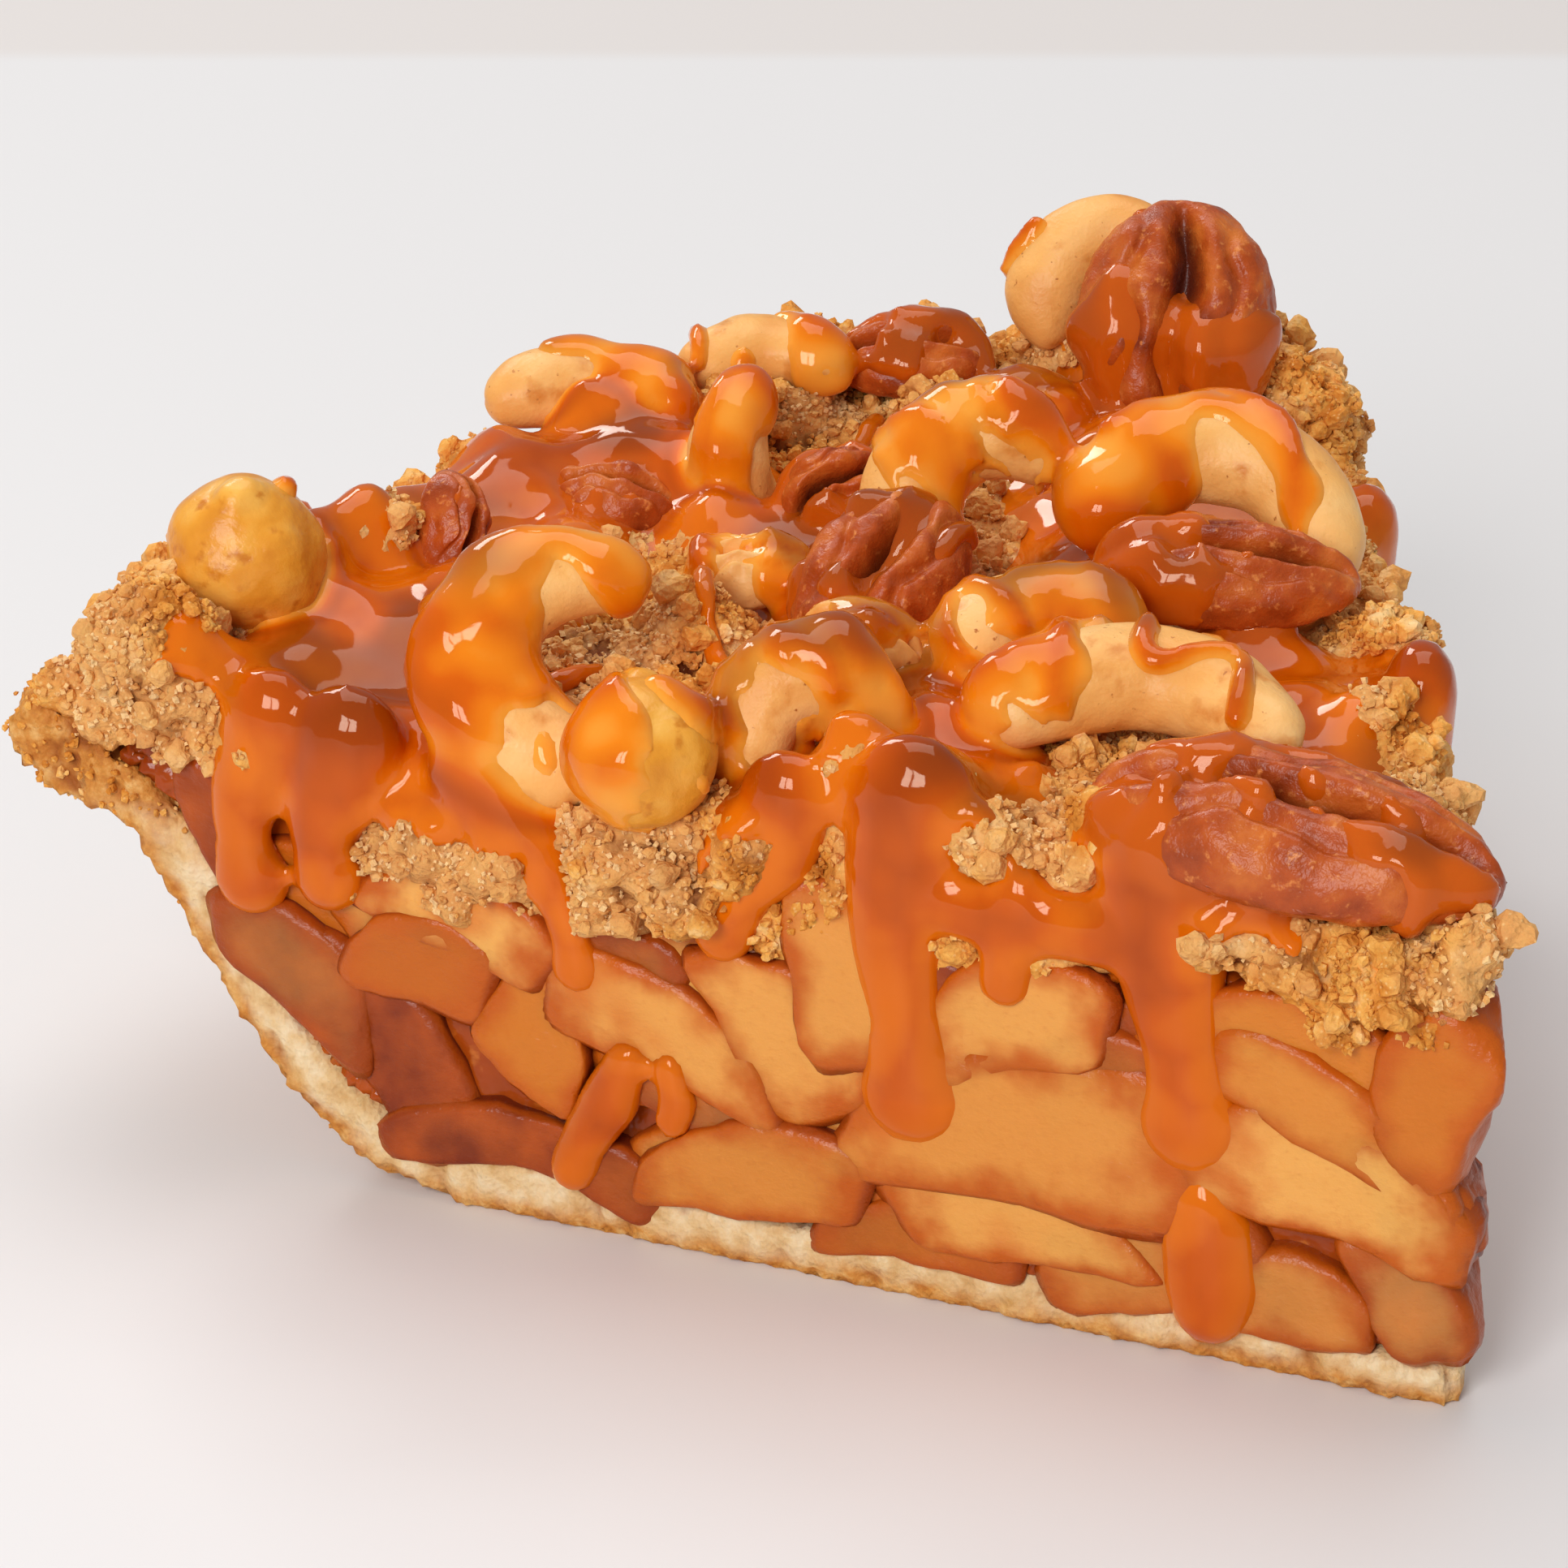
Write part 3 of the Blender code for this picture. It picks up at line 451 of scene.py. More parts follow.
def shaped_cashew(bm, length, thickness, bend):
    """A curved nut: an oval section swept round an arc, with a seam along its back."""
    half_bend = math.radians(bend) / 2
    arc = (length - thickness) / 2 / math.sin(min(half_bend, math.pi / 2))
    for vert in bm.verts:
        along = vert.co.z
        fullness = (1 - min(1, abs(along) ** 2.6)) ** (1 / 2.6)
        ring = math.hypot(vert.co.x, vert.co.y) or 1
        across = vert.co.x / ring
        aside = vert.co.y / ring
        plump = fullness * thickness / 2 * (1 - 0.1 * along)
        if across > 0:
            plump *= 1 - 0.05 * math.exp(-((aside / 0.13) ** 2))
        turn = along * (half_bend + thickness / 2 / arc * 0.75)
        reach = arc + across * plump
        vert.co = Vector((reach * math.sin(turn), reach * math.cos(turn), aside * plump * 0.86))
    middle = (arc + arc * math.cos(half_bend)) / 2
    bm.transform(Matrix.Translation((0, -middle, 0)))
    return [(6, 0.5), (2.2, 0.12)]


def shaped_pecan(bm, length, width, height):
    """Half a nut: a long dome with a deep groove between two wrinkled lobes."""
    bm.transform(Matrix.Rotation(math.pi / 2, 4, "Y"))
    # Groove depth, kept for the finish to paint the groove dark: painted shade, partly the nut's own
    # darker skin there.
    hollow_shade_layer = bm.verts.layers.float.new("hollow_shade")
    for vert in bm.verts:
        x, y, z = vert.co
        ends = 1 - x ** 4
        middle = y + 0.05 * math.sin(5 * x)
        groove = 0.8 * ends * math.exp(-((middle / 0.15) ** 2))
        side_line = abs(y) - 0.5 - 0.08 * math.sin(7 * x)
        groove += 0.13 * ends * math.exp(-((side_line / 0.08) ** 2))
        groove += 0.03 * ends * math.sin(13 * x + 5 * abs(y))
        up = z - groove if z > 0 else 0.5 * z
        vert[hollow_shade_layer] = groove
        vert.co = Vector((x * length / 2, y * width / 2, up * height * 0.66))
    return [(3.4, 0.4), (1.1, 0.14)]


def shaped_hazelnut(bm, diameter):
    """A round skinned nut with a low point, faint ribs and a dimpled side."""
    radius = diameter / 2
    for vert in bm.verts:
        x, y, z = vert.co
        rib = 1 + 0.012 * math.sin(7 * math.atan2(y, x)) * (1 - z * z)
        lift = 1 + 0.06 * max(0, z) ** 4 + 0.13 * step_up(z, 0.93, 1)
        vert.co = Vector((x * rib, y * rib, z * lift)) * radius
    return [(5, 0.5), (1.8, 0.12)]


def nut(name, row, shaping):
    """A roasted nut in its solid's place."""
    heading, lean, spin = (math.radians(angle) for angle in row[:3])
    bm = bmesh.new()
    bmesh.ops.create_icosphere(bm, subdivisions=6, radius=1)
    layers = shaping(bm, *row[3:])
    bm.normal_update()
    if bm.calc_volume(signed=True) < 0:
        bmesh.ops.reverse_faces(bm, faces=bm.faces)
        bm.normal_update()
    shift = CARAMEL_ON_NUTS[name][1]
    moves = [vert.normal * rough(vert.co, layers, shift) for vert in bm.verts]
    for vert, move in zip(bm.verts, moves):
        vert.co += move
    turn = Matrix.Rotation(heading, 4, "Z") @ Matrix.Rotation(lean, 4, "X")
    bm.transform(turn @ Matrix.Rotation(spin, 4, "Z") @ Matrix.Scale(MM, 4))
    places = [vert.co for vert in bm.verts]
    low = Vector(min(place[axis] for place in places) for axis in range(3))
    high = Vector(max(place[axis] for place in places) for axis in range(3))
    node_low, node_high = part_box(name)
    bm.transform(Matrix.Translation((node_low + node_high - low - high) / 2))
    return add_piece(name + "_roasted", bm)


# Apple filling

def apple_slice(row, side, draw):
    """A cut wedge of apple with a flat front, whose rim rolls down into the juice."""
    distance, height, length, thickness, slope, taper, sunk, soaked = row
    length *= APPLE_LENGTH_KEPT
    thickness *= APPLE_THICKNESS_KEPT
    shift = draw.uniform(0, 40)
    slant = draw.uniform(-APPLE_SLANT, APPLE_SLANT)
    depths = []
    rims = []
    bm = bmesh.new()
    bmesh.ops.create_cube(bm, size=2)
    bmesh.ops.subdivide_edges(bm, edges=bm.edges, cuts=APPLE_CELLS, use_grid_fill=True)
    for vert in bm.verts:
        x, y, z = vert.co
        reach = max(abs(x), abs(z), 0.001)
        powers = abs(x / reach) ** APPLE_SQUARENESS + abs(z / reach) ** APPLE_SQUARENESS
        corner = powers ** (1 / APPLE_SQUARENESS)
        out = reach ** APPLE_CROWDING
        spread = out / corner / reach
        x, z = x * spread, z * spread
        rolled = max(0, out - 1 + APPLE_RIM) / APPLE_RIM
        flat = APPLE_DEPTH - APPLE_ROLL * (1 - math.sqrt(max(0, 1 - rolled * rolled)))
        y *= flat if abs(y) > 0.99 else APPLE_DEPTH - APPLE_ROLL
        # How far back from its front a point lies, for the juice and painted shade down the sides of the
        # slice.
        depths.append((APPLE_DEPTH + side * y) * min(1, distance / APPLE_TIP_SPAN))
        rims.append(reach)
        width = APPLE_FULLNESS - APPLE_NARROWING * abs(x) ** 3 - taper * x
        lift = APPLE_BOW * length * (0.5 - x * x)
        vert.co = Vector(((x + slant * z) * length / 2, y, z * thickness / 2 * width + lift))
        vert.co += Vector((x, 0, z)) * rough(vert.co, [(5, 0.8), (2, 0.3)], shift)
        vert.co.y -= side * rough(vert.co, [(6, 0.5), (2, 0.12)], shift)
    across_face = Matrix.Rotation(-side * HALF_ANGLE, 4, "Z") @ Matrix.Rotation(math.pi / 2, 4, "Z")
    swing = Matrix.Rotation(draw.uniform(-APPLE_SWING, APPLE_SWING), 4, "Z")
    lean = swing @ Matrix.Rotation(draw.uniform(-APPLE_NOD, APPLE_NOD), 4, "X")
    tilt = Matrix.Rotation(-math.radians(slope), 4, "Y")
    centre = on_face(distance, height, APPLE_DEPTH - APPLE_PROUD + sunk, side)
    bm.transform(Matrix.Translation(centre) @ across_face @ lean @ tilt @ Matrix.Scale(MM, 4))
    other_face = outward_from(-side)
    bm.verts.index_update()
    for vert in bm.verts:
        past = (vert.co - POINT).dot(other_face) - APPLE_PROUD * MM
        if past > 0:
            vert.co -= past * APPLE_TIP_TRIM * other_face
            depths[vert.index] = APPLE_TIP_DEPTH
    return bm, depths, rims, draw.random(), soaked


def apple_slices(name, rows, side, draw):
    """Every slice of apple in a cut face, as one piece painted slice by slice."""
    whole = bmesh.new()
    tints = []
    soakings = []
    depths = []
    rims = []
    for row in rows:
        part, down, rim, tint, soaked = apple_slice(row, side, draw)
        join(whole, part)
        depths.extend(down)
        rims.extend(rim)
        tints.extend([tint] * len(down))
        soakings.extend([soaked] * len(down))
    bmesh.ops.recalc_face_normals(whole, faces=whole.faces)
    piece = add_piece(name, whole)
    paint(piece.data, "tint", tints)
    paint(piece.data, "soaked", soakings)
    paint(piece.data, "side_depth_for_shade", depths)
    paint(piece.data, "to_rim", rims)
    return piece


def drawn_rows(layers, draw):
    """Slices side by side in rows, each a little different."""
    rows = []
    for height, start, end, thickness, sunk in layers:
        distance = start + draw.uniform(0, 4)
        while distance < end:
            length = draw.uniform(13, 21)
            rows.append((
                distance, height + draw.uniform(-1, 1), length, thickness + draw.uniform(-1, 1.4),
                draw.uniform(-16, 32), draw.uniform(-0.2, 0.2), sunk + draw.uniform(0, 0.6),
                draw.choice((0, 0.1, 0.2, 0.5, 0.9)),
            ))
            distance += length * 0.5 + draw.uniform(1.6, 4)
    return rows


# Caramel

def caramel_cover(x, y):
    """Height of the caramel above the crumble and how far inside its edge the place is."""
    best = -1
    depth = 0
    for width, flow_depth, route in CARAMEL_FLOWS:
        for start, end in zip(route, route[1:]):
            inside = 1 - gap_to_line(x, y, start, end) / width
            if inside > best:
                best = inside
                depth = flow_depth
    return depth * math.copysign(abs(best) ** 0.6, best), best


def caramel_sheet(under, nuts_tree):
    """The pools and bands of caramel on the crumble, level between the nuts."""
    bm = bmesh.new()
    bmesh.ops.create_grid(bm, x_segments=SHEET_CELLS, y_segments=SHEET_CELLS, size=SHEET_SPAN / 2 * MM)
    bm.transform(Matrix.Translation(at(0, SHEET_SPAN / 2, 0)))
    bare = []
    for vert in bm.verts:
        place = (vert.co - POINT) / MM
        x = place.x + rough(place, SHEET_WAVES)
        y = place.y + rough(place, SHEET_WAVES, 5)
        height, inside = caramel_cover(x, y)
        hit = under.ray_cast(vert.co + 0.1 * UP, -UP)[0]
        if inside < SHEET_SPILL or hit is None:
            bare.append(vert)
            continue
        vert.co.z = hit.z + height * MM
        near = nuts_tree.find_nearest(vert.co)[3] / MM
        vert.co.z += CREEP_HEIGHT * MM * math.exp(-near / CREEP_WIDTH) * step_up(inside, 0, 0.4)
    bmesh.ops.delete(bm, geom=bare, context="VERTS")
    for _ in range(SHEET_SMOOTHING):
        bmesh.ops.smooth_vert(bm, verts=bm.verts, factor=0.5, use_axis_z=True)
    grown = bmesh.ops.extrude_face_region(bm, geom=bm.faces[:])
    lower = [item for item in grown["geom"] if isinstance(item, bmesh.types.BMVert)]
    bmesh.ops.translate(bm, verts=lower, vec=(0, 0, -SHEET_THICKNESS * MM))
    bmesh.ops.recalc_face_normals(bm, faces=bm.faces)
    return bm


def run_of_caramel(bm, controls, flat_along):
    """A run as beads that melt together, flattened against the face they run down."""
    squash = Matrix.Scale(DRIP_FLATNESS, 4, flat_along)
    for place, width in smooth_route(controls, BEAD_STEP):
        size = Matrix.Scale(width / 2 * MM, 4)
        bmesh.ops.create_icosphere(
            bm, subdivisions=2, radius=1, matrix=Matrix.Translation(place) @ squash @ size
        )


def caramel_runs():
    """The drips down both cut faces and over the rim."""
    bm = bmesh.new()
    for side, widths, route in CARAMEL_DRIPS:
        controls = [
            (*on_face(distance, height, -DRIP_PROUD + DRIP_SUNK * width, side), width)
            for width, (distance, height) in zip(widths, route)
        ]
        run_of_caramel(bm, controls, outward_from(side))
    controls = []
    for width, radius, height in RIM_DRIP:
        x = radius * math.sin(RIM_DRIP_ANGLE)
        controls.append((*at(x, radius * math.cos(RIM_DRIP_ANGLE), height), width))
    run_of_caramel(bm, controls, Vector((0, 1, 0)))
    return bm


def caramel_strands(under):
    """Rounded strands that follow whatever they are draped over."""
    bm = bmesh.new()
    for width, route in CARAMEL_STRANDS:
        controls = [
            (*at(x, y, STRAND_DROP_HEIGHT), width * (1 - STRAND_THINNING * (index % 2)))
            for index, (x, y) in enumerate(route)
        ]
        for place, bead in smooth_route(controls, STRAND_STEP):
            hit = under.ray_cast(place, -UP)[0]
            if hit is not None:
                middle = hit + STRAND_SUNK * bead * MM * UP
                bmesh.ops.create_icosphere(
                    bm, subdivisions=2, radius=bead / 2 * MM, matrix=Matrix.Translation(middle)
                )
    return bm


def caramel_film(nut_piece, name):
    """The caramel on one nut: thin and smooth-edged where it lies, sunk where it doesn't."""
    share, shift, to_right, to_top, ripple = CARAMEL_ON_NUTS[name]
    low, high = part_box(name)
    middle = (low + high) / 2
    reach = (high - low).length / 2
    bm = bmesh.new()
    bm.from_mesh(nut_piece.data)
    bm.normal_update()
    moves = []
    for vert in bm.verts:
        offset = (vert.co - middle) / reach
        place = vert.co / MM
        streak = Vector((place.x / 6, place.y / 6, place.z / 11))
        cover = share - 0.5 + rough(streak, [(1, 1), (0.45, 0.22)], shift)
        cover += to_right * offset.dot(VIEW_RIGHT) + to_top * offset.z + FILM_ON_TOP * vert.normal.z
        across = place.dot(VIEW_RIGHT) + 0.8 * place.z + rough(place, [(5, 2)], shift)
        cover += ripple * math.sin(across * math.tau / RIPPLE_WIDTH)
        depth = step_up(cover, -FILM_EDGE, FILM_EDGE) * (FILM_DEPTH + FILM_BELOW) - FILM_BELOW
        depth += (FILM_SWELL + rough(place, [(5, 0.9), (2.4, 0.3)], shift)) * step_up(cover, 0, 0.3)
        moves.append(vert.normal * depth * MM)
    for vert, move in zip(bm.verts, moves):
        vert.co += move
    return bm


def caramel(nuts, crumble_tree, top_tree, solid_tree, nuts_tree):
    """Sheet, runs, strands and films fused into one skin, painted with its depth."""
    whole = bmesh.new()
    parts = [caramel_sheet(crumble_tree, nuts_tree), caramel_runs(), caramel_strands(top_tree)]
    parts += [caramel_film(piece, name) for name, piece in nuts.items()]
    for part in parts:
        join(whole, part)
    piece = with_skin(add_piece("caramel_poured", whole), CARAMEL_VOXEL, 5)
    pale = tree_of([nut.data for name, nut in nuts.items() if name not in PECANS])
    for layer, tree in (("over_pale_nut", pale), ("over_nut", nuts_tree), ("over_rest", solid_tree)):
        paint(piece.data, layer, [tree.find_nearest(vert.co)[3] / MM for vert in piece.data.vertices])
    return piece


# Crumble and crust

def crumble_bed():
    """The baked crumble as one rough mass, with its larger crumbs at the front."""
    bm = copy_of("crumble_topping")
    for distance, height, inset, radius in CHUNKS_FACE_A:
        place = Matrix.Translation(on_face(distance, height, inset, -1))
        bmesh.ops.create_icosphere(bm, subdivisions=3, radius=radius * CHUNK_SHARE * MM, matrix=place)
    piece = with_skin(add_piece("crumble_baked", bm), CRUMBLE_VOXEL, 2)
    # How far the relief moves each point; the finish paints the sunk places dark as shade.
    raised = moved_points(piece.data, lambda place, normal: rough(place, CRUMBLE_LAYERS))
    paint(piece.data, "raised", raised)
    return piece


def distance_to_section(radius, height):
    """Distance in millimetres to the outside of the crust's section."""
    stretches = zip(CRUST_OUTSIDE, CRUST_OUTSIDE[1:])
    return min(gap_to_line(radius, height, start, end) for start, end in stretches)


def crust_shell():
    """The deep crust: sandy outside and rim, finer on its cut faces, flat underneath."""
    piece = with_skin(add_piece("crust_shell", copy_of("crust")), CRUST_VOXEL, 2)

    def rule(place, normal):
        if place.z < 0.4 and normal.z < -0.5:
            return 0
        on_rim = step_up(place.z, *RIM_HEIGHTS)
        return rough(place, [(5, 0.5 + 0.5 * on_rim), (1.8, 0.55 + 0.3 * on_rim), (0.9, 0.4)])

    # How far the relief moves each point; the finish paints the sunk places dark as shade.
    raised = moved_points(piece.data, rule)
    baked = []
    for vert in piece.data.vertices:
        vert.co.z = max(0, vert.co.z)
        place = (vert.co - POINT) / MM
        gap = distance_to_section(place.xy.length, place.z) + rough(place, [(2, 0.8)])
        height = place.z + rough(place, [(4, 3)])
        baked.append(max(1 - step_up(gap, *GOLDEN_DEPTHS), step_up(height, *GOLDEN_HEIGHTS)))
    paint(piece.data, "raised", raised)
    paint(piece.data, "baked", baked)
    return piece


def gel_core():
    """The juice set round the apples."""
    piece = with_skin(add_piece("apple_gel", copy_of("apple_filling")), GEL_VOXEL, 6)
    faces = [outward_from(side) for side in (-1, 1)]

    def rule(place, normal):
        on_cut = max(step_up(normal.dot(outward), 0.5, 0.9) for outward in faces)
        return rough(place, [(6, 0.5), (2.2, 0.25)]) + GEL_SWELL - GEL_SUNK * on_cut

    moved_points(piece.data, rule)
    return piece


def grain_shapes(count, fineness, draw):
    """A few rough crumb shapes of radius one, as arrays of points and triangles."""
    shapes = []
    for _ in range(count):
        bm = bmesh.new()
        if fineness:
            bmesh.ops.create_icosphere(bm, subdivisions=fineness, radius=1)
        else:
            bmesh.ops.create_cube(bm, size=1.4)
            bmesh.ops.triangulate(bm, faces=bm.faces)
        shift = draw.uniform(0, 50)
        for vert in bm.verts:
            vert.co *= 1 + rough(vert.co, [(1.1, 0.5), (0.5, 0.3)], shift)
        points = np.array([vert.co[:] for vert in bm.verts])
        faces = np.array([[vert.index for vert in face.verts] for face in bm.faces])
        bm.free()
        shapes.append((points, faces))
    return shapes


def scatter(name, base, count, sizes, shapes, allowed, draw):
    """Crumbs at true size on a piece's surface, joined into one mesh."""
    rng = np.random.default_rng(draw.randrange(1 << 30))
    mesh = base.data
    area = np.empty(len(mesh.polygons))
    mesh.polygons.foreach_get("area", area)
    spots = []
    for index in rng.choice(len(area), size=count * 4, p=area / area.sum()):
        face = mesh.polygons[int(index)]
        if allowed(face.center, face.normal):
            spots.append((face.center.copy(), face.normal.copy()))
        if len(spots) == count:
            break
    points = []
    faces = []
    raised = []
    start = 0
    for place, normal in spots:
        base_points, base_faces = shapes[draw.randrange(len(shapes))]
        size = sizes[0] + (sizes[1] - sizes[0]) * draw.random() ** 2
        axis = Vector((draw.gauss(0, 1), draw.gauss(0, 1), draw.gauss(0, 1)))
        turn = np.array(Matrix.Rotation(draw.uniform(0, math.tau), 3, axis))
        stretch = np.array([draw.uniform(0.7, 1.2) for _ in range(3)]) * size / 2 * MM
        shake = Vector([draw.gauss(0, GRAIN_SHAKE) for _ in range(3)]) * MM
        centre = np.array(place + normal * size * GRAIN_PROUD * MM + shake)
        points.append((base_points * stretch) @ turn.T + centre)
        faces.append(base_faces + start)
        # A random number for each crumb: crumbs with a low one take the finish's dark tone.
        raised.extend([draw.uniform(-0.4, 1.4)] * len(base_points))
        start += len(base_points)
    mesh = bpy.data.meshes.new(name)
    mesh.from_pydata(np.concatenate(points), [], np.concatenate(faces).tolist())
    mesh.update()
    paint(mesh, "raised", raised)
    piece = bpy.data.objects.new(name, mesh)
    bpy.context.scene.collection.objects.link(piece)
    return piece


# Finishes

def tone(red, green, blue):
    """A colour as the eye sees it, from 0 to 255, made linear."""
    parts = (value / 255 for value in (red, green, blue))
    return (*(p / 12.92 if p <= 0.04045 else ((p + 0.055) / 1.055) ** 2.4 for p in parts), 1)


def finish_called(name, values):
    """A new material, its node tree and its shader with some plain values set."""
    surface = bpy.data.materials.new(name)
    surface.use_nodes = True
    tree = surface.node_tree
    shader = tree.nodes["Principled BSDF"]
    for socket, value in values.items():
        shader.inputs[socket].default_value = value
    return surface, tree, shader


def add_node(tree, kind, inputs, **settings):
    """A node with its settings, whose inputs are values or other nodes' outputs."""
    made = tree.nodes.new(kind)
    for key, value in settings.items():
        setattr(made, key, value)
    for key, value in inputs.items():
        if isinstance(value, bpy.types.NodeSocket):
            tree.links.new(value, made.inputs[key])
        else:
            made.inputs[key].default_value = value
    return made


def speckle(tree, size, detail=2, stretch=(1, 1, 1), contrast=0.5):
    """Soft noise of a size in millimetres, from 0 to 1."""
    place = tree.nodes.new("ShaderNodeTexCoord").outputs["Object"]
    scaled = add_node(tree, "ShaderNodeMapping", {"Vector": place, "Scale": stretch})
    inputs = {"Vector": scaled.outputs[0], "Scale": 1000 / size, "Detail": detail, "Roughness": contrast}
    return add_node(tree, "ShaderNodeTexNoise", inputs).outputs["Fac"]


def grains(tree, size):
    """Rounded grains of a size in millimetres, as distance from each grain's middle."""
    place = tree.nodes.new("ShaderNodeTexCoord").outputs["Object"]
    inputs = {"Vector": place, "Scale": 1000 / size}
    return add_node(tree, "ShaderNodeTexVoronoi", inputs).outputs["Distance"]


def ramp(tree, factor, stops):
    """Colours along a factor, as pairs of place and colour."""
    made = add_node(tree, "ShaderNodeValToRGB", {"Fac": factor})
    line = made.color_ramp.elements
    while len(line) < len(stops):
        line.new(0.5)
    for element, (place, colour) in zip(line, stops):
        element.position = place
        element.color = colour
    return made.outputs["Color"]


def mix(tree, factor, first, second):
    """The first colour where the factor is 0 and the second where it is 1."""
    inputs = {0: factor, 6: first, 7: second}
    return add_node(tree, "ShaderNodeMix", inputs, data_type="RGBA").outputs[2]


def between(tree, value, low, high):
    """A value turned to 0 at low and 1 at high."""
    inputs = {"Value": value, "From Min": low, "From Max": high}
    return add_node(tree, "ShaderNodeMapRange", inputs, interpolation_type="SMOOTHSTEP").outputs[0]


def stored(tree, name):
    """A number painted on the points of a piece."""
    return add_node(tree, "ShaderNodeAttribute", {}, attribute_name=name).outputs["Fac"]


def facing_up(tree):
    """How far the surface looks upwards."""
    geometry = tree.nodes.new("ShaderNodeNewGeometry").outputs["Normal"]
    return add_node(tree, "ShaderNodeSeparateXYZ", {"Vector": geometry}).outputs["Z"]


def relief(tree, shader, layers):
    """Fine relief under the shading: pairs of height and distance in millimetres."""
    below = None
    for height, distance in layers:
        inputs = {"Height": height, "Distance": distance * MM, "Strength": 1}
        if below:
            inputs["Normal"] = below
        below = add_node(tree, "ShaderNodeBump", inputs).outputs["Normal"]
    tree.links.new(below, shader.inputs["Normal"])


def colour(tree, shader, output):
    """Give the shader its colour."""
    tree.links.new(output, shader.inputs["Base Color"])


def caramel_finish():
    """Glossy amber, paler where it is thin over a pale nut and milky where it pools."""
    surface, tree, shader = finish_called("caramel_glossy", {
        "Roughness": 0.06, "IOR": 1.44, "Specular Tint": (1, 0.84, 0.66, 1), "Subsurface Weight": 0.08,
        "Subsurface Scale": 0.0015, "Subsurface Radius": (1, 0.3, 0.06),
    })
    over_pale = stored(tree, "over_pale_nut")
    on_pale = ramp(tree, between(tree, over_pale, 0.05, 2.2), [
        (0, tone(244, 160, 56)), (0.15, tone(236, 130, 16)), (0.4, tone(214, 94, 2)),
        (1, tone(168, 64, 0)),
    ])
    on_rest = ramp(tree, between(tree, stored(tree, "over_rest"), 0.1, 4.6), [
        (0, tone(222, 110, 8)), (0.35, tone(200, 84, 0)), (1, tone(164, 62, 0)),
    ])
    over_nut = stored(tree, "over_nut")
    on_dark = mix(tree, between(tree, over_nut, 0.6, 2), tone(196, 86, 12), on_rest)
    both = mix(tree, between(tree, over_pale, 0.9, 2.8), on_pale, on_dark)
    milky = mix(tree, between(tree, speckle(tree, 15, 1), 0.5, 0.64), both, tone(122, 50, 6))
    pooled = mix(tree, facing_up(tree), both, milky)
    colour(tree, shader, mix(tree, 0.7, both, pooled))
    relief(tree, shader, [(speckle(tree, 4, 1), 0.1)])
    return surface


def cashew_finish():
    """Cream with toasted patches."""
    surface, tree, shader = finish_called("cashew_roasted", {
        "Roughness": 0.4, "IOR": 1.36, "Subsurface Weight": 0.12, "Subsurface Scale": 0.002,
        "Subsurface Radius": (1, 0.6, 0.3),
    })
    base = ramp(tree, speckle(tree, 9, 3), [
        (0.25, tone(228, 150, 68)), (0.5, tone(244, 180, 100)), (0.75, tone(250, 202, 134)),
    ])
    toasted = mix(tree, between(tree, speckle(tree, 3.5, 4), 0.54, 0.76), base, tone(216, 132, 50))
    specks = mix(tree, between(tree, speckle(tree, 0.7, 2), 0.68, 0.78), toasted, tone(180, 102, 40))
    colour(tree, shader, specks)
    relief(tree, shader, [(speckle(tree, 1.4, 3), 0.12), (speckle(tree, 0.4, 2), 0.05)])
    return surface


def hazelnut_finish():
    """Mottled yellow and orange."""
    surface, tree, shader = finish_called("hazelnut_roasted", {
        "Roughness": 0.3, "IOR": 1.38, "Subsurface Weight": 0.12, "Subsurface Scale": 0.002,
        "Subsurface Radius": (1, 0.6, 0.3),
    })
    base = ramp(tree, speckle(tree, 6, 3), [
        (0.28, tone(204, 120, 22)), (0.5, tone(232, 156, 48)), (0.74, tone(246, 190, 90)),
    ])
    scuffed = mix(tree, between(tree, speckle(tree, 2, 4), 0.56, 0.72), base, tone(206, 124, 30))
    colour(tree, shader, scuffed)
    relief(tree, shader, [(speckle(tree, 1.2, 4), 0.15)])
    return surface


def pecan_finish():
    """Red-brown with paler grain, and dark in its groove: painted shade there, partly the darker skin that
    a pecan has in it.
    """
    surface, tree, shader = finish_called("pecan_roasted", {
        "Roughness": 0.34, "IOR": 1.38, "Subsurface Weight": 0.06, "Subsurface Scale": 0.002,
        "Subsurface Radius": (1, 0.4, 0.2),
    })
    base = ramp(tree, speckle(tree, 4.5, 4), [
        (0.26, tone(126, 44, 12)), (0.5, tone(178, 76, 22)), (0.76, tone(214, 118, 44)),
    ])
    grain = speckle(tree, 1.1, 3, contrast=0.65)
    streaked = mix(tree, between(tree, grain, 0.56, 0.76), base, tone(222, 134, 66))
    # Painted shade in the groove, partly the darker skin that a pecan has there.
    hollow_shade = between(tree, stored(tree, "hollow_shade"), 0.2, 0.75)
    colour(tree, shader, mix(tree, hollow_shade, streaked, tone(84, 28, 12)))
    relief(tree, shader, [(grain, 0.16), (speckle(tree, 0.35, 2), 0.05)])
    return surface


